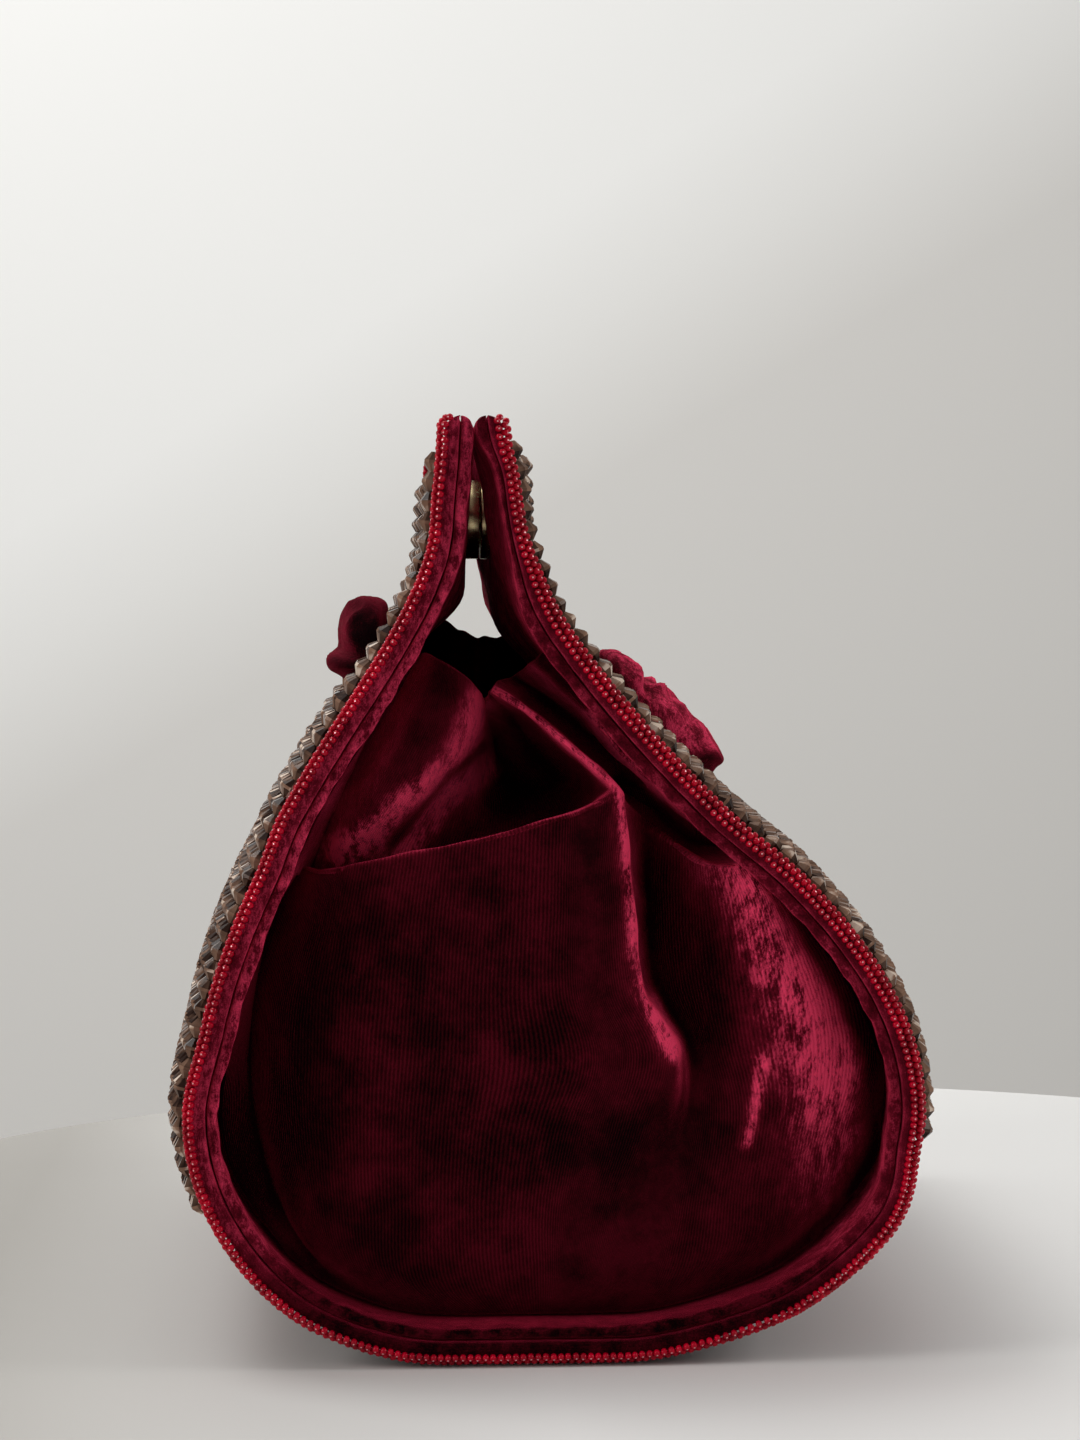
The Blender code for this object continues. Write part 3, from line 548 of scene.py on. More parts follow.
# the gussets: rows from the base to the hem, each with its front and back seam heights and its folds.
# A fold point is x, z and depth behind the end of the bag, all in mm.
gussetFolds = (
    (31.5, 33.0, ((-55.7, 28.0, 20), (-50.1, 22.2, 18), (-41.8, 18.1, 15), (-30.5, 15.5, 14),
        (-16.2, 14.9, 13), (-1.9, 14.9, 13), (10.3, 15.1, 13), (21.6, 16.1, 13), (33.9, 18.7, 14),
        (46.4, 23.4, 15), (57.7, 30.4, 18))),
    (45.9, 44.0, ((-60.6, 43.1, 22), (-54.2, 35.6, 18), (-44.8, 32.0, 13), (-31.6, 29.8, 11),
        (-17.3, 29.4, 10), (-2.1, 29.4, 10), (14.6, 30.3, 10), (24.6, 31.7, 10), (35.5, 34.1, 10),
        (48.9, 38.9, 11), (61.9, 45.2, 16))),
    (58.2, 54.0, ((-62.1, 55.2, 24), (-56.3, 50.0, 18), (-45.8, 46.9, 12), (-31.6, 45.4, 9),
        (-16.4, 45.2, 8), (0.5, 45.7, 8), (20.6, 47.2, 8), (27.8, 48.2, 9), (37.2, 50.2, 7),
        (51.5, 54.7, 8), (65.7, 58.4, 17))),
    (70.6, 63.0, ((-61.7, 67.6, 25), (-56.3, 63.2, 19), (-45.8, 61.2, 12), (-30.6, 60.2, 8),
        (-14.4, 59.9, 7), (4.8, 60.5, 6), (23.4, 63.0, 3), (27.4, 61.8, 11), (34.7, 62.8, 8),
        (50.6, 66.9, 6), (65.9, 68.5, 26))),
    (83.0, 72.0, ((-59.3, 81.0, 26), (-54.2, 76.7, 19), (-44.8, 74.5, 12), (-29.5, 74.0, 8),
        (-14.4, 73.8, 6), (1.7, 74.4, 5), (16.8, 75.7, 2), (22.6, 73.4, 20), (32.8, 75.9, 9),
        (47.1, 80.0, 5), (59.9, 80.6, 30))),
    (93.3, 81.0, ((-55.5, 91.3, 27), (-51.1, 88.0, 19), (-42.8, 86.7, 12), (-28.5, 87.2, 7),
        (-13.4, 88.5, 5), (1.6, 91.7, 3), (14.5, 95.9, 1), (21.4, 92.8, 27), (31.3, 91.8, 12),
        (41.1, 94.4, 6), (50.7, 94.4, 32))),
    (99.4, 90.0, ((-51.3, 97.5, 26), (-47.3, 98.1, 14), (-40.3, 99.5, 8), (-26.5, 102.4, 5),
        (-12.5, 106.0, 3), (1.9, 110.1, 1), (12.4, 114.0, 0), (21.9, 104.9, 28), (30.3, 99.6, 12),
        (37.3, 99.5, 8), (43.8, 99.8, 33))),
    (101.5, 96.0, ((-50.6, 96.1, 28), (-45.0, 95.2, 24), (-37.1, 96.0, 22), (-23.8, 98.5, 24),
        (-9.6, 101.7, 26), (3.7, 106.6, 22), (10.7, 116.5, 2), (23.5, 107.0, 40), (29.5, 102.0, 42),
        (35.0, 101.0, 36), (41.0, 101.5, 34))),
    (104.6, 103.0, ((-48.0, 101.3, 26), (-41.8, 102.9, 18), (-32.6, 104.9, 19), (-20.0, 107.9, 30),
        (-8.9, 109.4, 44), (1.3, 112.3, 42), (6.7, 120.1, 5), (21.6, 112.7, 36), (27.0, 108.5, 28),
        (33.0, 106.6, 12), (36.8, 106.6, 22))),
    (113.9, 112.0, ((-44.0, 110.4, 24), (-36.7, 112.5, 13), (-26.4, 114.5, 14), (-17.5, 115.7, 28),
        (-11.0, 116.0, 46), (-3.2, 118.8, 42), (1.9, 124.2, 8), (16.9, 118.0, 36), (20.6, 114.5, 28),
        (25.0, 112.2, 14), (28.4, 113.4, 22))),
    (123.1, 121.0, ((-38.8, 120.9, 22), (-31.0, 122.9, 10), (-22.4, 123.9, 11), (-15.9, 123.9, 24),
        (-11.9, 122.4, 46), (-7.4, 125.3, 40), (-3.6, 128.9, 12), (9.4, 125.0, 36), (11.5, 122.6, 28),
        (14.8, 120.6, 16), (18.2, 122.6, 20))),
    (133.4, 132.0, ((-33.0, 131.9, 20), (-26.5, 132.2, 11), (-19.9, 131.4, 12), (-15.1, 129.4, 22),
        (-13.0, 127.5, 38), (-10.1, 129.3, 34), (-8.4, 132.3, 15), (0.8, 132.3, 34), (3.4, 131.5, 27),
        (6.0, 130.7, 19), (8.6, 131.6, 18))),
    (142.5, 142.5, ((-26.4, 141.7, 18), (-23.2, 140.5, 14), (-19.2, 138.0, 15), (-15.6, 134.4, 20),
        (-13.9, 131.8, 29), (-12.9, 132.9, 27), (-12.3, 134.6, 19), (-6.8, 137.0, 33), (-5.3, 138.8, 25),
        (-4.0, 140.2, 17), (-1.9, 141.9, 17))),
)
gusset = {
    "seamDepth": 18.0,
    "clearance": 0.0009,
    "thickness": 0.0012,
    "fine": 12,  # mesh rows for each row of the net
    "baseFront": 14.0,
    "baseBack": 15.0,
    "nearest": 1.8,  # no fold comes closer to the end than this
    "nearSoft": 1.2,
    "seamFade": 0.05,
    "ridgeBack": (3.2, 1.6),
    "ridgeFront": (7.0, 1.0),
    # painted highlights along the ridge's edge and along the pleat, and the range of painted light and shade
    "ridgeGlow": (0.36, 1.3),
    "pleatGlow": (0.10, 0.3),
    "paintedLightRange": (-0.5, 1.1),
    "farHem": (151.0, 143.0),
    "farKeep": (0.6, 0.1),
    "farFade": (7, 5.0),
}
seamY = -(endY - gusset["seamDepth"] * mm)
creases = {
    "ridge": {"column": 8, "rows": (4, 13), "sharp": 0.75},
    "flap": {"column": 3, "rows": (8, 13), "sharp": 0.35},
    "backFold": {"column": 12, "rows": (6, 12), "sharp": 0.6},
    "pleat": {"row": 7, "columns": (1, 12), "sharp": 0.9},
}
# strokes of painted light on lit folds, or painted shade in pockets below zero: points (x, z) and width in
# mm, how far and between which rows of the net
paintedLightStrokes = (
    (((-16, 132), (-18.8, 122.7), (-26.6, 115), (-35.3, 107.3), (-43, 101.5)), 2.9, 1.0, (7.4, 14)),
    (((-14.5, 122), (-21.5, 117.5), (-28, 109.5), (-33, 103)), 1.3, -0.75, (7.4, 14)),
    (((-12.8, 116.6), (-20.7, 113), (-25.5, 107.8), (-30.5, 101.7)), 2.7, 0.95, (7.4, 14)),
    (((-45, 101), (-36, 103)), 3.5, 0.45, (7.4, 14)),
    (((-34, 122), (-42, 110)), 5.0, 0.14, (7.4, 14)),
    (((-5, 124), (8, 111)), 6.5, -0.80, (7.6, 14)),
    (((-10, 111), (2, 107)), 4.0, -0.60, (7.2, 10)),
    (((38, 99), (42.2, 90.6), (47.4, 79), (52.7, 68.3), (56.4, 58.4)), 7.4, 1.05, (0, 8)),
    (((43, 94), (51, 77), (57, 64)), 3.2, 0.50, (0, 8)),
    (((40, 82), (43, 62)), 5.0, 0.25, (0, 8)),
    (((41, 60), (40.5, 54), (38.3, 43.5)), 1.4, 0.75, (0, 8)),
    (((52, 50), (60, 44)), 6.0, 0.28, (0, 8)),
    (((50, 40), (50, 22)), 13.0, 0.12, (0, 8)),
    (((44, 98), (50, 84), (61, 72.5), (67.5, 61), (70.5, 49), (70.5, 39), (66, 30)), 4.8, -1.20, (0, 8.6)),
    (((8, 129.5), (15, 120.6), (24, 112.6), (33, 106.6), (37, 103.5), (40.6, 98), (42, 91)),
     1.7, 0.80, (6, 14)),
    (((17, 109), (26, 105), (34, 103.5)), 4.5, -1.20, (7.1, 9.0)),
    (((16, 105.5), (22, 104.3), (30, 99.8), (36, 99.5)), 1.0, 0.45, (6.8, 7.2)),
    (((19.5, 70), (23.6, 63)), 1.7, 0.9, (3.6, 6)),
    (((-61, 36), (-61, 92)), 13.0, -0.45, (0, 7.2)),
    (((24, 96), (29, 66)), 6.5, -0.30, (0, 7.2)),
    (((50, 57), (57, 36)), 7.5, 0.30, (0, 8)),
    (((-8, 48), (12, 44), (30, 48)), 6.0, -0.08, (0, 7.2)),
)


# 1 on a stroke, fading to 0 away from it
def strokeWeight(x, z, points, width):
    nearest = np.full(x.shape, 1e9)
    for (x0, z0), (x1, z1) in zip(points[:-1], points[1:]):
        dx, dz = x1 - x0, z1 - z0
        along = np.clip(((x - x0) * dx + (z - z0) * dz) / (dx**2 + dz**2), 0, 1)
        nearest = np.minimum(nearest, np.hypot(x - x0 - along * dx, z - z0 - along * dz))
    return np.exp(-((nearest / width) ** 2))


# a smooth curve through equally spaced rows of values; sharp is 1 at a crease and 0 where the cloth rolls
def smoothThrough(values, fine, sharp):
    count = len(values)
    slope = np.gradient(values, axis=0) * (1 - sharp)[..., None]
    place = np.linspace(0, count - 1, (count - 1) * fine + 1)
    index = np.minimum(place.astype(int), count - 2)
    t = (place - index)[:, None, None]
    curve = (2 * t**3 - 3 * t**2 + 1) * values[index] + (t**3 - 2 * t**2 + t) * slope[index]
    curve = curve + (3 * t**2 - 2 * t**3) * values[index + 1] + (t**3 - t**2) * slope[index + 1]
    return curve, sharp[index] + (sharp[index + 1] - sharp[index]) * t[..., 0]


# how sharp the net is across its columns and up its rows
def creaseMaps(shape):
    across, up = np.zeros(shape), np.zeros(shape)
    for crease in creases.values():
        if "column" in crease:
            first, last = crease["rows"]
            across[first : last + 1, crease["column"]] = crease["sharp"]
        else:
            first, last = crease["columns"]
            up[crease["row"], first : last + 1] = crease["sharp"]
    return across, up


# a seam point on the lining, in the same x, z, depth as the folds
def seamPoint(side, zMm):
    point = wrapPoints(sideS(side, zMm * mm), seamY, wrapDepth + gusset["clearance"])
    return (point[0] / mm, point[2] / mm, gusset["seamDepth"])


def gussetNet():
    rows = []
    count = len(gussetFolds[0][2])
    startS, endS = sideS(-1, gusset["baseFront"] * mm), sideS(1, gusset["baseBack"] * mm)
    base = wrapPoints(np.linspace(startS, endS, count + 2), seamY, wrapDepth + gusset["clearance"])
    rows.append([(p[0] / mm, p[2] / mm, gusset["seamDepth"]) for p in base])
    for frontZ, backZ, folds in gussetFolds:
        rows.append([seamPoint(-1, frontZ), *folds, seamPoint(1, backZ)])
    net = np.array(rows)
    # the ridge drops away close behind its own edge, to the back along the panel
    # and to the front above the pleat
    level = np.arange(len(net))[:, None]
    ridge, before, after = net[:, 7], net[:, 6], net[:, 8]
    place = np.full(3, 0.5) + np.array([-0.26, -0.15, 0.32]) * riseFrom(level, *gusset["ridgeBack"])
    behind = ridge + (after - ridge) * place
    place = np.full(3, 0.5) + np.array([-0.28, -0.15, 0.32]) * riseFrom(level, *gusset["ridgeFront"])
    ahead = ridge + (before - ridge) * place
    return np.concatenate([net[:, :7], ahead[:, None], net[:, 7:8], behind[:, None], net[:, 8:]], axis=1)


def makeGusset(name, end, net, seed, wrinkle, sharpShare):
    fine = gusset["fine"]
    acrossSharp, upSharp = (m * sharpShare for m in creaseMaps(net.shape[:2]))
    rowsUp, _ = smoothThrough(net, fine, upSharp)
    _, acrossFine = smoothThrough(net, fine, acrossSharp)
    surface, _ = smoothThrough(rowsUp.transpose(1, 0, 2), fine, acrossFine.T)
    surface = surface.transpose(1, 0, 2)
    near, soft = gusset["nearest"], gusset["nearSoft"]
    depth = near + np.logaddexp(0, (surface[..., 2] - near) * soft) / soft
    points = np.stack([surface[..., 0] * mm, end * (endY - depth * mm), surface[..., 1] * mm], -1)
    rows, columns = points.shape[:2]
    across, up = np.linspace(0, 1, columns)[None, :], np.linspace(0, 1, rows)[:, None]
    fromSeam = smoothStep(np.minimum(across, 1 - across) / gusset["seamFade"])
    seamFade = fromSeam * smoothStep(up / gusset["seamFade"])
    normal = np.cross(np.gradient(points, axis=1), np.gradient(points, axis=0))
    normal /= np.linalg.norm(normal, axis=-1, keepdims=True) + 1e-12
    crease = ripple(points * np.array([1.7, 1.0, 0.9]), 0.013, seed) * wrinkle
    crease -= abs(ripple(points * np.array([1.0, 1.0, 1.4]), 0.010, seed + 2)) * wrinkle * 0.8
    points = points + normal * (crease * seamFade)[..., None]
    columnPlace, rowPlace = np.arange(columns)[None, :] / fine, np.arange(rows)[:, None] / fine
    brushed = np.zeros((rows, columns))
    # painted light and shade from the strokes
    for stroke, width, far, (low, high) in paintedLightStrokes:
        spot = far * strokeWeight(surface[..., 0], surface[..., 1], stroke, width)
        brushed += spot * smoothStep((rowPlace - low) / 0.3 + 0.5) * smoothStep((high - rowPlace) / 0.3 + 0.5)
    # painted highlights along the ridge's edge and along the pleat
    ridge = creases["ridge"]["column"]
    (ridgeWidth, ridgeLift), (pleatWidth, pleatLift) = gusset["ridgeGlow"], gusset["pleatGlow"]
    ridgeGlow = np.exp(-(((columnPlace - ridge) / ridgeWidth) ** 2)) * riseFrom(rowPlace, 3.7, 0.4)
    pleatGlow = np.exp(-(((rowPlace - 7.05) / pleatWidth) ** 2))
    pleatGlow = pleatGlow * smoothStep((ridge + 0.3 - columnPlace) / 0.5)
    brushed = brushed + ridgeLift * ridgeGlow + pleatLift * pleatGlow
    uCoords, vCoords = np.linspace(0, 0.145, columns + 1), np.linspace(0, 0.165, rows + 1)
    paintedLightValues = np.clip(brushed, *gusset["paintedLightRange"]) * sharpShare
    obj = gridObject(name, points, uCoords, vCoords, brushed=paintedLightValues)
    obj.data.materials.append(gussetVelvet)
    return addSolidify(obj, gusset["thickness"])


nearNet = gussetNet()
rightGusset = makeGusset("rightGusset", -1, nearNet, 21, 0.0006, 1.0)
# the far end hangs fuller: the same folds turned over and shallower, up to a hem that is nearly straight
share = np.linspace(0, 1, nearNet.shape[1])[None, :, None]
straight = nearNet[:, :1] * (1 - share) + nearNet[:, -1:] * share
turned = nearNet[:, ::-1] * np.array([-1.0, 1.0, 1.0])
turned[..., 0] += (straight[:, :1, 0] + straight[:, -1:, 0])
hanging = 1 - riseFrom(np.arange(len(nearNet)), *gusset["farFade"])
keep = (gusset["farKeep"][0] * hanging + gusset["farKeep"][1])[:, None, None]
farNet = straight + (turned - straight) * keep
farNet[0], farNet[:, 0], farNet[:, -1] = nearNet[0], nearNet[:, 0], nearNet[:, -1]
farNet[-1, 0], farNet[-1, -1] = seamPoint(-1, gusset["farHem"][0]), seamPoint(1, gusset["farHem"][1])
hem = share[0]
farNet[-1] = farNet[-1, :1] * (1 - hem) + farNet[-1, -1:] * hem
drop = gusset["farHem"][0] - gusset["farHem"][1]
sag = drop * np.clip(1 - hem[:, 0] / 0.55, 0, 1) ** 1.2
farNet[-1, :, 1] = gusset["farHem"][1] + sag + 0.3 * np.sin(hem[:, 0] * 31)
leftGusset = makeGusset("leftGusset", 1, farNet, 41, 0.0009, 0.25)
print("gussets ready")

# crystals and seed beads, sewn on with one Geometry Nodes tree
crystals = {
    "pitch": 0.0040,
    "strandPitch": 0.00405,
    "radius": 0.00198,
    "length": 0.0039,
    "tip": 0.0007,
    "belt": 0.00032,
    "sides": 8,
    "stand": 0.00175,
    "sideMargin": 0.0050,
    "frontStop": 0.03024,
    "backStop": 0.044037,
    "top": 0.1845,
    "jitter": 0.00005,
    "sizes": (0.97, 1.0, 0.045),  # smallest, largest and tilt
}
seeds = {
    "pitch": 0.00150,
    "radius": 0.00074,
    "hole": 0.00018,
    "length": 0.00144,
    "shoulder": (0.72, 0.80),  # shares of its half length and radius
    "sides": 8,
    "frontAngles": (-14, 21, 56),  # the three rows round the rolled edge, in degrees
    "backAngles": (6, 44, 80),
    "turnFrom": (0.02, 0.06),
    "roll": 0.0027,
    "jitter": 0.00003,
    "sizes": (0.94, 1.0, 0.14),
}


# a bead turned round its axis, from (height, radius) points; seed beads are smooth, with a painted glint on
# each end face
def beadMesh(name, profile, sides, smooth):
    angles = np.linspace(0, 2 * math.pi, sides, endpoint=False)
    points = [(r * math.cos(a), r * math.sin(a), z) for z, r in profile for a in angles]
    last = (len(profile) - 1) * sides
    faces = [(one + k, one + (k + 1) % sides, one + sides + (k + 1) % sides, one + sides + k)
             for one in range(0, last, sides) for k in range(sides)]
    faces += [tuple(range(sides))[::-1], tuple(last + k for k in range(sides))]
    obj = addMesh(name, points, faces)
    pointOutwards(obj)
    for face in obj.data.polygons:
        face.use_smooth = smooth and len(face.vertices) == 4
    # crystal facets get random tones, the palest a painted glint; seed beads get a painted glint on their end
    # faces
    mixed = np.random.default_rng(len(faces)).permutation(len(faces)) / len(faces)
    paintedGlintTones = np.where([len(face) == 4 for face in faces], 0.5, 2.0)
    addValues(obj.data, "facet", "FACE", paintedGlintTones if smooth else mixed)
    return obj


# beads on every stitch point, each turned to its thread, tilted and sized a little differently
def sewingTree(name):
    tree = bpy.data.node_groups.new(name, "GeometryNodeTree")
    face = tree.interface
    face.new_socket("Geometry", in_out="INPUT", socket_type="NodeSocketGeometry")
    for label, kind, value in (("Bead", "NodeSocketObject", None), ("Material", "NodeSocketMaterial", None),
                               ("Smallest", "NodeSocketFloat", 0.95), ("Largest", "NodeSocketFloat", 1.0),
                               ("Tilt", "NodeSocketFloat", 0.06), ("Seed", "NodeSocketInt", 1)):
        socket = face.new_socket(label, in_out="INPUT", socket_type=kind)
        if value is not None:
            socket.default_value = value
    face.new_socket("Geometry", in_out="OUTPUT", socket_type="NodeSocketGeometry")
    start, end = addNode(tree, "NodeGroupInput"), addNode(tree, "NodeGroupOutput")
    bead = addNode(tree, "GeometryNodeObjectInfo")
    thread = addNode(tree, "GeometryNodeInputNamedAttribute", data_type="FLOAT_VECTOR", Name="thread")
    align = addNode(tree, "FunctionNodeAlignRotationToVector", axis="Z")
    spin = addNode(tree, "FunctionNodeRandomValue", data_type="FLOAT_VECTOR")
    low, high = addNode(tree, "ShaderNodeCombineXYZ"), addNode(tree, "ShaderNodeCombineXYZ", Z=math.pi)
    minus = addNode(tree, "ShaderNodeMath", operation="MULTIPLY")
    minus.inputs[1].default_value = -1.0
    turn = addNode(tree, "FunctionNodeEulerToRotation")
    both = addNode(tree, "FunctionNodeRotateRotation", rotation_space="LOCAL")
    size = addNode(tree, "FunctionNodeRandomValue", data_type="FLOAT")
    sew = addNode(tree, "GeometryNodeInstanceOnPoints")
    real = addNode(tree, "GeometryNodeRealizeInstances")
    paint = addNode(tree, "GeometryNodeSetMaterial")
    for pair in (
        (start, "Tilt", minus, 0), (minus, 0, low, "X"), (minus, 0, low, "Y"),
        (start, "Tilt", high, "X"), (start, "Tilt", high, "Y"),
        (low, 0, spin, "Min"), (high, 0, spin, "Max"), (start, "Seed", spin, "Seed"),
        (spin, "Value", turn, 0), (thread, "Attribute", align, "Vector"),
        (align, "Rotation", both, "Rotation"), (turn, 0, both, "Rotate By"),
        (start, "Smallest", size, 2), (start, "Largest", size, 3), (start, "Seed", size, "Seed"),
        (start, "Geometry", sew, "Points"), (start, "Bead", bead, "Object"),
        (bead, "Geometry", sew, "Instance"), (both, "Rotation", sew, "Rotation"), (size, 1, sew, "Scale"),
        (sew, "Instances", real, "Geometry"), (real, "Geometry", paint, "Geometry"),
        (start, "Material", paint, "Material"), (paint, "Geometry", end, "Geometry"),
    ):
        join(*pair)
    return tree


sewing = sewingTree("sewnBeads")


def sewBeads(name, points, threads, bead, material, look, seed):
    obj = addMesh(name, points.reshape(-1, 3).tolist(), [])
    layer = obj.data.attributes.new("thread", "FLOAT_VECTOR", "POINT")
    layer.data.foreach_set("vector", threads.reshape(-1, 3).astype(np.float32).ravel())
    modifier = obj.modifiers.new("sewing", "NODES")
    modifier.node_group = sewing
    smallest, largest, tilt = look["sizes"]
    wanted = {"Bead": bead, "Material": material, "Smallest": smallest, "Largest": largest, "Tilt": tilt,
              "Seed": seed}
    for item in sewing.interface.items_tree:
        if item.item_type == "SOCKET" and item.in_out == "INPUT" and item.name in wanted:
            modifier[item.identifier] = wanted[item.name]
    applyModifiers(obj)
    if not obj.data.materials:
        obj.data.materials.append(material)
    return obj


def sewCrystals(name, side, stop, seed):
    low, high = sideS(side, stop), sideS(side, crystals["top"])
    rows = int(abs(high - low) / crystals["pitch"] + 0.1)
    along = low + np.sign(high - low) * (np.arange(rows) + 0.5) * crystals["pitch"]
    reach = halfWidth - crystals["sideMargin"]
    count = int(2 * reach / crystals["strandPitch"]) + 1
    across = np.linspace(-reach, reach, count)
    points = wrapPoints(along[:, None], across[None, :], -crystals["stand"])
    ahead = wrapPoints(along[:, None] + 0.0005, across[None, :], -crystals["stand"])
    threads = (ahead - points) / np.linalg.norm(ahead - points, axis=-1, keepdims=True)
    generator = np.random.default_rng(seed)
    points = points + generator.normal(0, crystals["jitter"], points.shape)
    half, tip, belt, radius = crystals["length"] / 2, crystals["tip"], crystals["belt"], crystals["radius"]
    profile = ((-half, tip), (-belt, radius), (belt, radius), (half, tip))
    bead = beadMesh("bicone", profile, crystals["sides"], False)
    obj = sewBeads(name, points, threads, bead, smokyCrystal, crystals, seed)
    bpy.data.objects.remove(bead)
    return obj


def sewSeeds(name, end, seed):
    radius, hole, half = seeds["radius"], seeds["hole"], seeds["length"] / 2
    bend, round = half * seeds["shoulder"][0], radius * seeds["shoulder"][1]
    profile = ((-half, hole), (-bend, round), (0, radius), (bend, round), (half, hole))
    bead = beadMesh("seedBead", profile, seeds["sides"], True)
    edge = wrap["shell"] / 2
    ringRadius = edge + wrap["gap"] + half
    centreY = halfWidth - edge
    parts, threads = [], []
    for row, angles in enumerate(zip(seeds["frontAngles"], seeds["backAngles"])):
        count = int(outlineLength / seeds["pitch"])
        along = (np.arange(count) + 0.25 + 0.5 * (row % 2)) * outlineLength / count
        backShare = riseFrom(along - baseS, *seeds["turnFrom"])
        turn = np.radians(angles[0] + (angles[1] - angles[0]) * backShare)
        y = end * (centreY + ringRadius * np.sin(turn))
        depth = edge - ringRadius * np.cos(turn)
        roll = rollIn(along + 0.0004 * np.sign(baseS - along), seeds["roll"])
        depth = wrap["shell"] + (depth - wrap["shell"]) * roll
        points = wrapPoints(along, y, depth)
        parts.append(points)
        # every hole, with the painted glint on its end face, faces away from the rolled edge
        threads.append(outward(along) * np.cos(turn)[:, None] + np.array([0, end, 0]) * np.sin(turn)[:, None])
    points, threads = np.concatenate(parts), np.concatenate(threads)
    points[:, 2] = np.maximum(points[:, 2], half)
    generator = np.random.default_rng(seed)
    points = points + generator.normal(0, seeds["jitter"], points.shape)
    obj = sewBeads(name, points, threads, bead, redGlass, seeds, seed)
    bpy.data.objects.remove(bead)
    return obj


frontCrystals = sewCrystals("frontCrystals", -1, crystals["frontStop"], 5)
backCrystals = sewCrystals("backCrystals", 1, crystals["backStop"], 6)
rightSeeds = sewSeeds("rightSeeds", -1, 7)
leftSeeds = sewSeeds("leftSeeds", 1, 8)
print("beads ready")

# soft velvet bows on the faces
# each bow also has a value of painted light for the upper side of its loops, painted shade below zero
bows = {
    "front": {
        "side": -1, "height": 0.749, "length": 0.1313, "tall": 0.0098, "puff": 0.0044, "droop": 0.0,
        "stand": 0.0020, "lean": 0.30, "notch": (-0.25, 0.35, 0.16), "brushed": -0.02, "seed": 61,
    },
    "back": {
        "side": 1, "height": 0.665, "length": 0.1392, "tall": 0.0178, "puff": 0.0040, "droop": 0.003,
        "stand": 0.0016, "lean": 0.05, "notch": (0.60, 0.75, 0.12), "brushed": 0.52, "seed": 71,
    },
}
knot = {"length": 0.016, "cloth": 0.0012, "waist": 0.44, "share": 0.13, "bulge": 0.3, "crease": 0.13}
# the loops, from the knot to their tips
loop = {
    "opens": (0.1, 0.4),
    "thickens": (0.1, 0.35),
    "tipFrom": 0.80,
    "gathered": (0.12, 0.55),
    "gather": (0.16, 0.03),
    "pleats": 9,
    "square": 0.8,
    "crush": 0.0034,
    "crushSize": 0.0075,
    "fineSize": 0.0035,
}


def bowPoints(bow, y, up, out):
    place = sideS(bow["side"], bow["height"] * wrap["height"])
    droop = bow["droop"] * (2 * y / bow["length"]) ** 2
    stand = bow["stand"] + out
    return wrapPoints(place + bow["side"] * (up - droop), y, -stand)


# height and thickness of a loop at a share of its half length, with gathers that fan out of the knot
def bowShape(bow, share, turn):
    share = abs(share)
    opening = knot["waist"] + (1 - knot["waist"]) * riseFrom(share, *loop["opens"])
    tip = np.sqrt(np.clip(1 - (np.clip(share - loop["tipFrom"], 0, 1) / 0.20) ** 2, 0.0, 1))
    tall = bow["tall"] * opening * (0.3 + 0.7 * tip)
    thick = bow["puff"] * (0.5 + 0.5 * riseFrom(share, *loop["thickens"])) * tip
    gather = loop["gather"][0] * (1 - riseFrom(share, *loop["gathered"])) + loop["gather"][1]
    pleats = 1 + gather * np.cos(loop["pleats"] * turn + 1.3 * np.sin(6 * share + bow["seed"]))
    place, depth, width = bow["notch"]
    notch = 1 - depth * np.exp(-(((np.cos(turn) - place) / width) ** 2)) * smoothStep(share / 0.4)
    upper = np.sin(turn) > 0
    rise, side = (np.sign(w) * abs(w) ** loop["square"] for w in (np.sin(turn), np.cos(turn)))
    up = tall * side * (1 + 0.12 * np.cos(3 * turn) * opening) * 0.93
    out = thick * (1 + rise * np.where(upper, pleats * notch * 1.05, 1.0))
    out = out * (1 + bow["lean"] * side * opening)
    return up, out


def bowLift(share):
    return (knot["cloth"] + wrap["gap"]) * (1 - riseFrom(abs(share), knot["share"], 0.15))


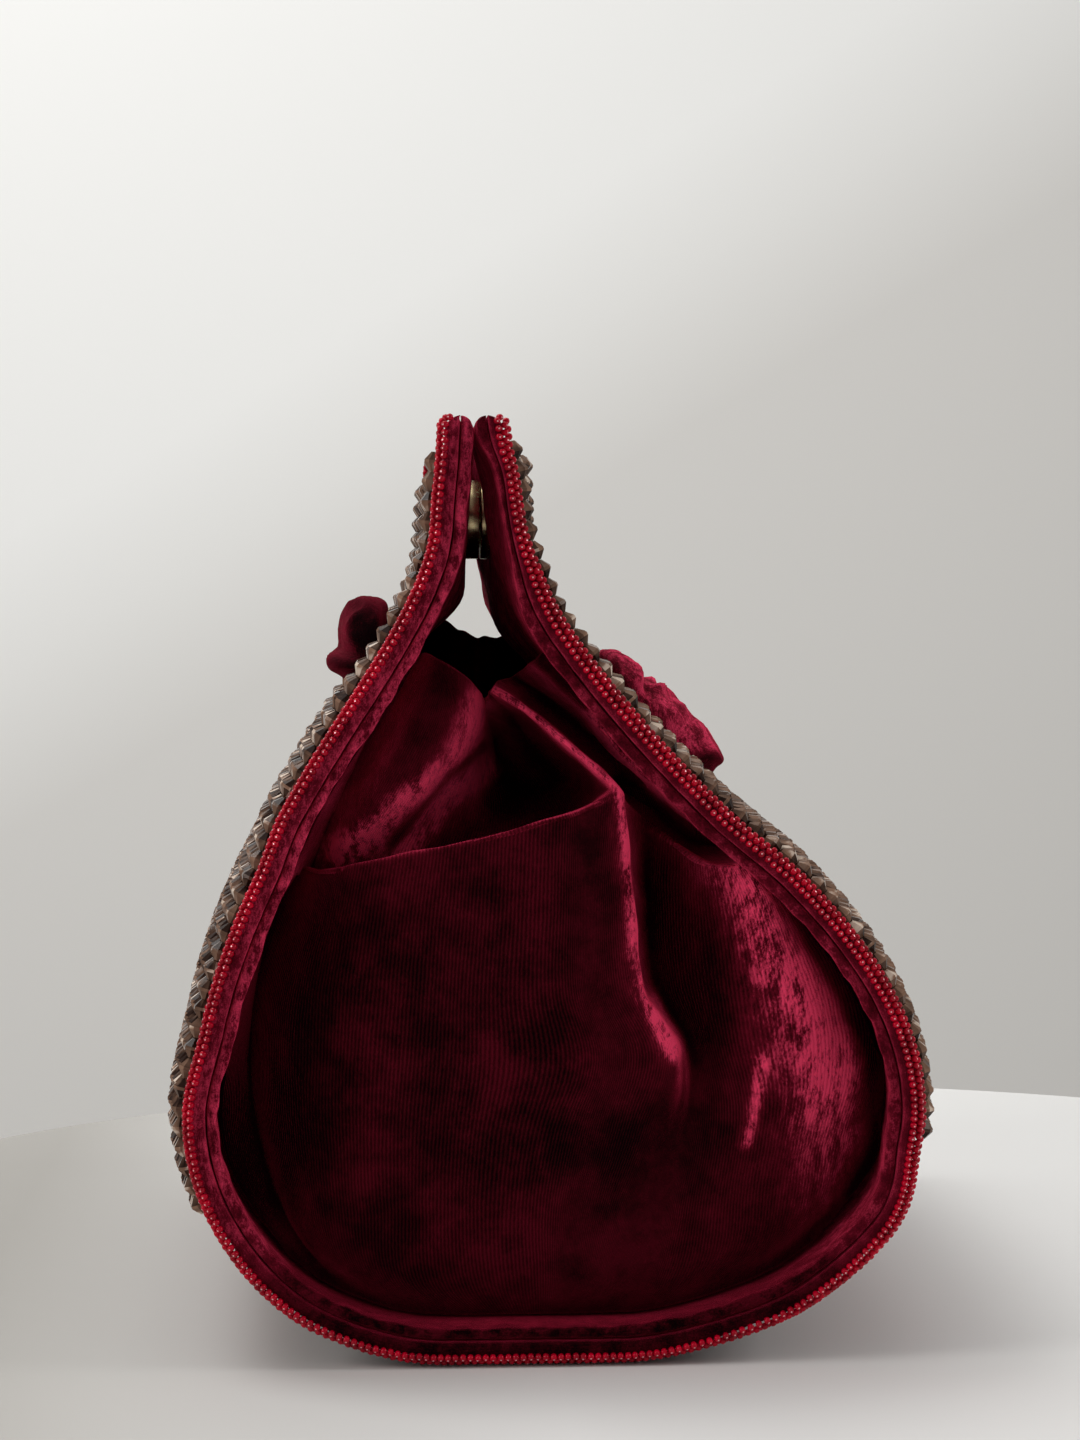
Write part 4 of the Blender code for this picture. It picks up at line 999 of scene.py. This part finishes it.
def makeBow(label, bow):
    shares = np.linspace(-1, 1, 121)
    shares = np.sign(shares) * abs(shares) ** 0.9 * 0.997
    turn = np.linspace(0, 2 * math.pi, 72, endpoint=False)
    up, out = bowShape(bow, shares[:, None], turn[None, :])
    y = np.broadcast_to(shares[:, None] * bow["length"] / 2, up.shape)
    points = bowPoints(bow, y, up, out + bowLift(shares)[:, None])
    away = outward(sideS(bow["side"], bow["height"] * wrap["height"]) * np.ones(1))[0]
    creased = points * np.array([1.0, 0.45, 1.0])
    folds = abs(ripple(creased, loop["crushSize"], bow["seed"])) * loop["crush"]
    soft = 0.0006 - folds + ripple(points, loop["fineSize"], bow["seed"] + 1) * 0.0002
    weight = smoothStep(np.sin(turn) * 2 + 0.2)[None, :] * riseFrom(abs(shares), 0.16, 0.1)[:, None]
    points = points + away * (soft * weight)[..., None]
    around = np.linspace(0, 0.06, len(turn) + 1)
    # painted light on the upper side of the loops; a little painted shade on the front bow
    paintedLightValues = bow["brushed"] * smoothStep(np.sin(turn + 0.5) * 1.5)[None, :] * np.ones((len(shares), 1))
    loops = gridObject(label + "BowLoops", points, around, shares * bow["length"] / 2, True, True, paintedLightValues)
    loops.data.materials.append(bowVelvet)
    # the knot: a band of cloth that lies round the middle of the loops
    bandY = np.linspace(-1, 1, 41)
    share = bandY * knot["length"] / bow["length"]
    up, out = bowShape(bow, share[:, None], turn[None, :])
    out = out + bowLift(share)[:, None]
    middle = np.stack([np.zeros(len(bandY)), out.mean(axis=1)], -1)
    fromMiddle = np.stack([up, out], -1) - middle[:, None]
    fromMiddle /= np.linalg.norm(fromMiddle, axis=-1, keepdims=True)
    plump = knot["cloth"] * (1 + knot["bulge"] * (1 - bandY**2) - 0.8 * abs(bandY) ** 9)[:, None]
    crease = 1 + knot["crease"] * np.sin(bandY * 9.0 + 0.6)[:, None] * smoothStep(np.sin(turn) * 2)[None, :]
    rings = []
    for grow, floor in ((wrap["gap"] + plump * crease, 0.0), (wrap["gap"], knot["cloth"])):
        spread = np.stack([up, out], -1) + fromMiddle * np.broadcast_to(grow, up.shape)[..., None]
        ringY = np.broadcast_to(bandY[:, None] * knot["length"] / 2, up.shape)
        rings.append(bowPoints(bow, ringY, spread[..., 0], np.maximum(spread[..., 1], floor)))
    band = closedBand(label + "BowKnot", np.concatenate([rings[0], rings[1][::-1]]))
    band.data.materials.append(bowVelvet)
    return loops, band


# a ring of cloth: its rows run over the outside and back along the inside, and the last meets the first
def closedBand(name, points):
    rows, columns = points.shape[:2]
    faces = []
    for i in range(rows):
        for j in range(columns):
            nextI, nextJ = (i + 1) % rows, (j + 1) % columns
            faces.append((i * columns + j, i * columns + nextJ, nextI * columns + nextJ, nextI * columns + j))
    obj = addMesh(name, points.reshape(-1, 3).tolist(), faces)
    layer = obj.data.uv_layers.new(name="clothUV")
    place = points.reshape(-1, 3)[[v for f in faces for v in f]]
    layer.data.foreach_set("uv", place[:, 1:].astype(np.float32).ravel())
    pointOutwards(obj)
    obj.data.shade_smooth()
    return obj


bowPieces = {label: makeBow(label, bow) for label, bow in bows.items()}
print("bows ready")

# the magnetic snap, turned about its own axis
snap = {
    "radius": 0.009,
    "stem": 0.0015,
    "post": 0.002,
    "socketThickness": 0.0032,
    "postLength": 0.0016,
    "fit": 0.0002,
    "sides": 72,
    "step": 0.0002,
    "bevels": (0.00025, 0.0003),
}


def turnedPiece(name, profile, side, material):
    angles = np.linspace(0, 2 * math.pi, snap["sides"], endpoint=False)
    axial, radius = np.array(profile).T
    centre = wrap["neckAxis"] + wrap["snapShift"]
    x = centre + side * np.broadcast_to(axial[:, None], (len(axial), len(angles)))
    y, z = radius[:, None] * np.cos(angles), wrap["snapHeight"] + radius[:, None] * np.sin(angles)
    around, inwards = np.linspace(0, 1, len(angles) + 1), np.linspace(0, 1, len(axial))
    obj = gridObject(name, np.stack([x, y, z], -1), around, inwards, True, True)
    obj.data.set_sharp_from_angle(angle=math.radians(32))
    obj.data.materials.append(material)
    return obj


# rounds the rim of a disc between two faces
def roundRim(start, end, radius, bevel, steps=6):
    turn = np.linspace(0, math.pi / 2, steps)
    sign = 1 if end > start else -1
    first = [(start + sign * bevel * (1 - math.cos(t)), radius - bevel * (1 - math.sin(t))) for t in turn]
    last = [(end - sign * bevel * (1 - math.sin(t)), radius - bevel * (1 - math.cos(t))) for t in turn]
    return first + last


backFace = wrap["snapClosed"] / 2
parting = backFace - snap["socketThickness"]
stemEnd = backFace + wrap["gap"] * 2 + wrap["lining"] + 0.0008
bore = snap["post"] + snap["fit"]
radius = snap["radius"]
stem, post, step = snap["stem"], snap["post"], snap["step"]
socketProfile = [
    (stemEnd, stem), (backFace, stem), *roundRim(backFace, parting, radius, snap["bevels"][0]),
    (parting, 0.0066), (parting + step, 0.0064), (parting + step, bore + 0.0008), (parting, bore + 0.0006),
    (parting, bore), (parting + snap["postLength"] + snap["fit"], bore),
]
split = wrap["gap"] - parting
postEnd = split - wrap["gap"] - snap["postLength"]
studProfile = [
    (stemEnd, stem), (backFace, stem), *roundRim(backFace, split, radius, snap["bevels"][1]),
    (split, 0.0062), (split + step, 0.006), (split + step, 0.0032), (split, 0.003), (split, post),
    (postEnd + 0.0003, post), (postEnd, post - 0.0003),
]
snapSocket = turnedPiece("snapSocket", socketProfile, -1, goldMetal)
snapStud = turnedPiece("snapStud", studProfile, 1, goldMetal)
for node in ("socket_washer", "stud_washer"):
    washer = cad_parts[node]
    washer.data.materials.clear()
    washer.data.materials.append(steelMetal)
print("snap ready")

# which part of the frame each piece stands for, and the finish slot it is listed with
pieceTable = (
    (shell, "outer_shell", "velvet", 0.7),
    (lining, "lining", "lining_velvet", 0.5),
    (rightGusset, "right_gusset", "gusset_velvet", None),
    (leftGusset, "left_gusset", "gusset_velvet", None),
    (frontCrystals, "front_crystals", "smoky_crystal", None),
    (backCrystals, "back_crystals", "smoky_crystal", None),
    (rightSeeds, "right_seed_border", "red_glass", None),
    (leftSeeds, "left_seed_border", "red_glass", None),
    (bowPieces["front"][0], "front_bow_loops", "bow_velvet", 0.5),
    (bowPieces["front"][1], "front_bow_knot", "bow_velvet", 0.5),
    (bowPieces["back"][0], "back_bow_loops", "bow_velvet", 0.5),
    (bowPieces["back"][1], "back_bow_knot", "bow_velvet", 0.5),
    (snapSocket, "snap_socket", "gold", None),
    (snapStud, "snap_stud", "gold", None),
)
for piece, node, slotName, fill in pieceTable:
    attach(piece, "root")
    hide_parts(node)
for piece in (rightGusset, leftGusset):
    clothArea = sum(face.area for face in piece.data.polygons) / 2
    print(piece.name, "cloth area", round(clothArea, 5))

# table, wall, lamps and camera
studio = {
    # painted shade on the table, darker to the left, and painted light on the wall, brighter towards the top
    # and the left
    "tableStops": ((0.0, (0.76, 0.755, 0.745)), (1.0, (0.40, 0.385, 0.36))),
    "wallStops": ((0.0, (0.78, 0.765, 0.74)), (0.52, (0.79, 0.775, 0.75)), (0.64, (0.91, 0.905, 0.885)),
                  (0.74, (0.985, 0.985, 0.97))),
    "world": (1.0, 0.99, 0.97),
    "worldStrength": 0.36,
    "camera": (-0.0347, -0.690, 0.153),
    "target": (-0.0037, -0.100, 0.129),
    "lens": 75.0,
    "table": {
        "centre": (0.05, -0.4),
        "back": (0.05, 0.06),  # middle of the rounded back edge
        "radii": (0.24, 0.21),
        "corners": ((-0.19, -1.2), (0.29, -1.2)),
        "rings": ((0.0, -0.0002), (0.97, -0.0002), (0.995, -0.003), (1.0, -0.012), (1.0, -0.35)),
    },
    "wall": {"distance": 1.1, "bend": (0.6, 0.8), "half": 2.5, "heights": (-0.9, 2.2)},
    "lamps": (  # place, aim, size, power and colour
        ("windowLeft", (-0.95, -0.40, 0.55), (0, -0.05, 0.08), (0.35, 0.6), 3.9, (1.0, 0.985, 0.96)),
        ("windowRight", (0.95, -0.20, 0.60), (0, -0.05, 0.08), (0.35, 0.5), 3.2, (1.0, 0.985, 0.97)),
        ("softTop", (-0.1, 0.15, 1.2), (0, 0, 0.05), (0.9, 0.9), 2.4, (1.0, 1.0, 1.0)),
        ("wallWash", (-0.7, 0.3, 1.5), (-0.1, 1.1, 0.5), (0.8, 0.8), 13.0, (1.0, 1.0, 0.99)),
    ),
}


# a plain surface with painted light and shade: its tone changes along its own x and z
def plainSurface(name, stops, roughness, low, high):
    material, tree, shader = newMaterial(name)
    place = addNode(tree, "ShaderNodeTexCoord")
    split = addNode(tree, "ShaderNodeSeparateXYZ")
    join(place, "Object", split, 0)
    sideways = addMath(tree, "MULTIPLY", split.outputs["X"], 0.6)
    slope = addMath(tree, "SUBTRACT", split.outputs["Z"], sideways)
    ramp = addNode(tree, "ShaderNodeValToRGB")
    rampStops(ramp, stops)
    tree.links.new(addRange(tree, slope, low, high, 0.0, 1.0), ramp.inputs["Fac"])
    join(ramp, "Color", shader, "Base Color")
    setInputs(shader, {"Roughness": roughness, "Specular IOR Level": 0.2})
    return material


# a cloth-covered table top with a rounded back edge
def makeTable():
    look = studio["table"]
    (backX, backY), (wide, deep), rings = look["back"], look["radii"], look["rings"]
    back = [(backX - wide * math.cos(t), backY + deep * math.sin(t)) for t in np.linspace(0, math.pi, 60)]
    rim, centre = np.array([look["corners"][0], *back, look["corners"][1]]), np.array(look["centre"])
    points = np.array([[(*(centre + (p - centre) * grow), z) for p in rim] for grow, z in rings])
    around, inwards = np.linspace(0, 1, len(rim) + 1), np.linspace(0, 1, len(rings))
    table = gridObject("clothTable", points, around, inwards, True)
    table.data.materials.append(plainSurface("paleCloth", studio["tableStops"], 0.7, 0.0, 0.075))
    table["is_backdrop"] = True


def makeWall():
    look = studio["wall"]
    slope, straight = look["bend"]
    places = np.linspace(-look["half"], look["half"], 11)
    foot = [(x, look["distance"] + slope * max(0.0, abs(x) - straight)) for x in places]
    points = np.array([[(x, y, z) for x, y in foot] for z in look["heights"]])
    wall = gridObject("plainWall", points, np.linspace(0, 1, 12), np.linspace(0, 1, 3))
    wall.data.materials.append(plainSurface("palePlaster", studio["wallStops"], 0.9, -0.25, 0.55))
    wall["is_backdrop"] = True


def aimed(place, target):
    return (Vector(target) - Vector(place)).to_track_quat("-Z", "Y").to_euler()


def addLamp(name, place, aim, size, power, colour):
    lamp = bpy.data.lights.new(name, "AREA")
    lamp.shape = "RECTANGLE"
    lamp.size, lamp.size_y = size
    lamp.energy = power
    lamp.color = colour
    obj = bpy.data.objects.new(name, lamp)
    obj.location = place
    obj.rotation_euler = aimed(place, aim)
    bpy.context.scene.collection.objects.link(obj)


makeTable()
makeWall()
for lamp in studio["lamps"]:
    addLamp(*lamp)
world = bpy.data.worlds.new("paleRoom")
bpy.context.scene.world = world
world.use_nodes = True
background = world.node_tree.nodes["Background"]
setInputs(background, {"Color": (*studio["world"], 1.0), "Strength": studio["worldStrength"]})
cameraData = bpy.data.cameras.new("photoCamera")
cameraData.lens = studio["lens"]
cameraData.sensor_fit = "VERTICAL"
cameraData.sensor_height = 36.0
cameraData.clip_start = 0.01
camera = bpy.data.objects.new("photoCamera", cameraData)
camera.location = studio["camera"]
camera.rotation_euler = aimed(studio["camera"], studio["target"])
bpy.context.scene.collection.objects.link(camera)
bpy.context.scene.camera = camera
bpy.context.scene.view_settings.view_transform = "Standard"

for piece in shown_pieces():
    piece.data.calc_loop_triangles()
    print(piece.name, len(piece.data.loop_triangles), "triangles")
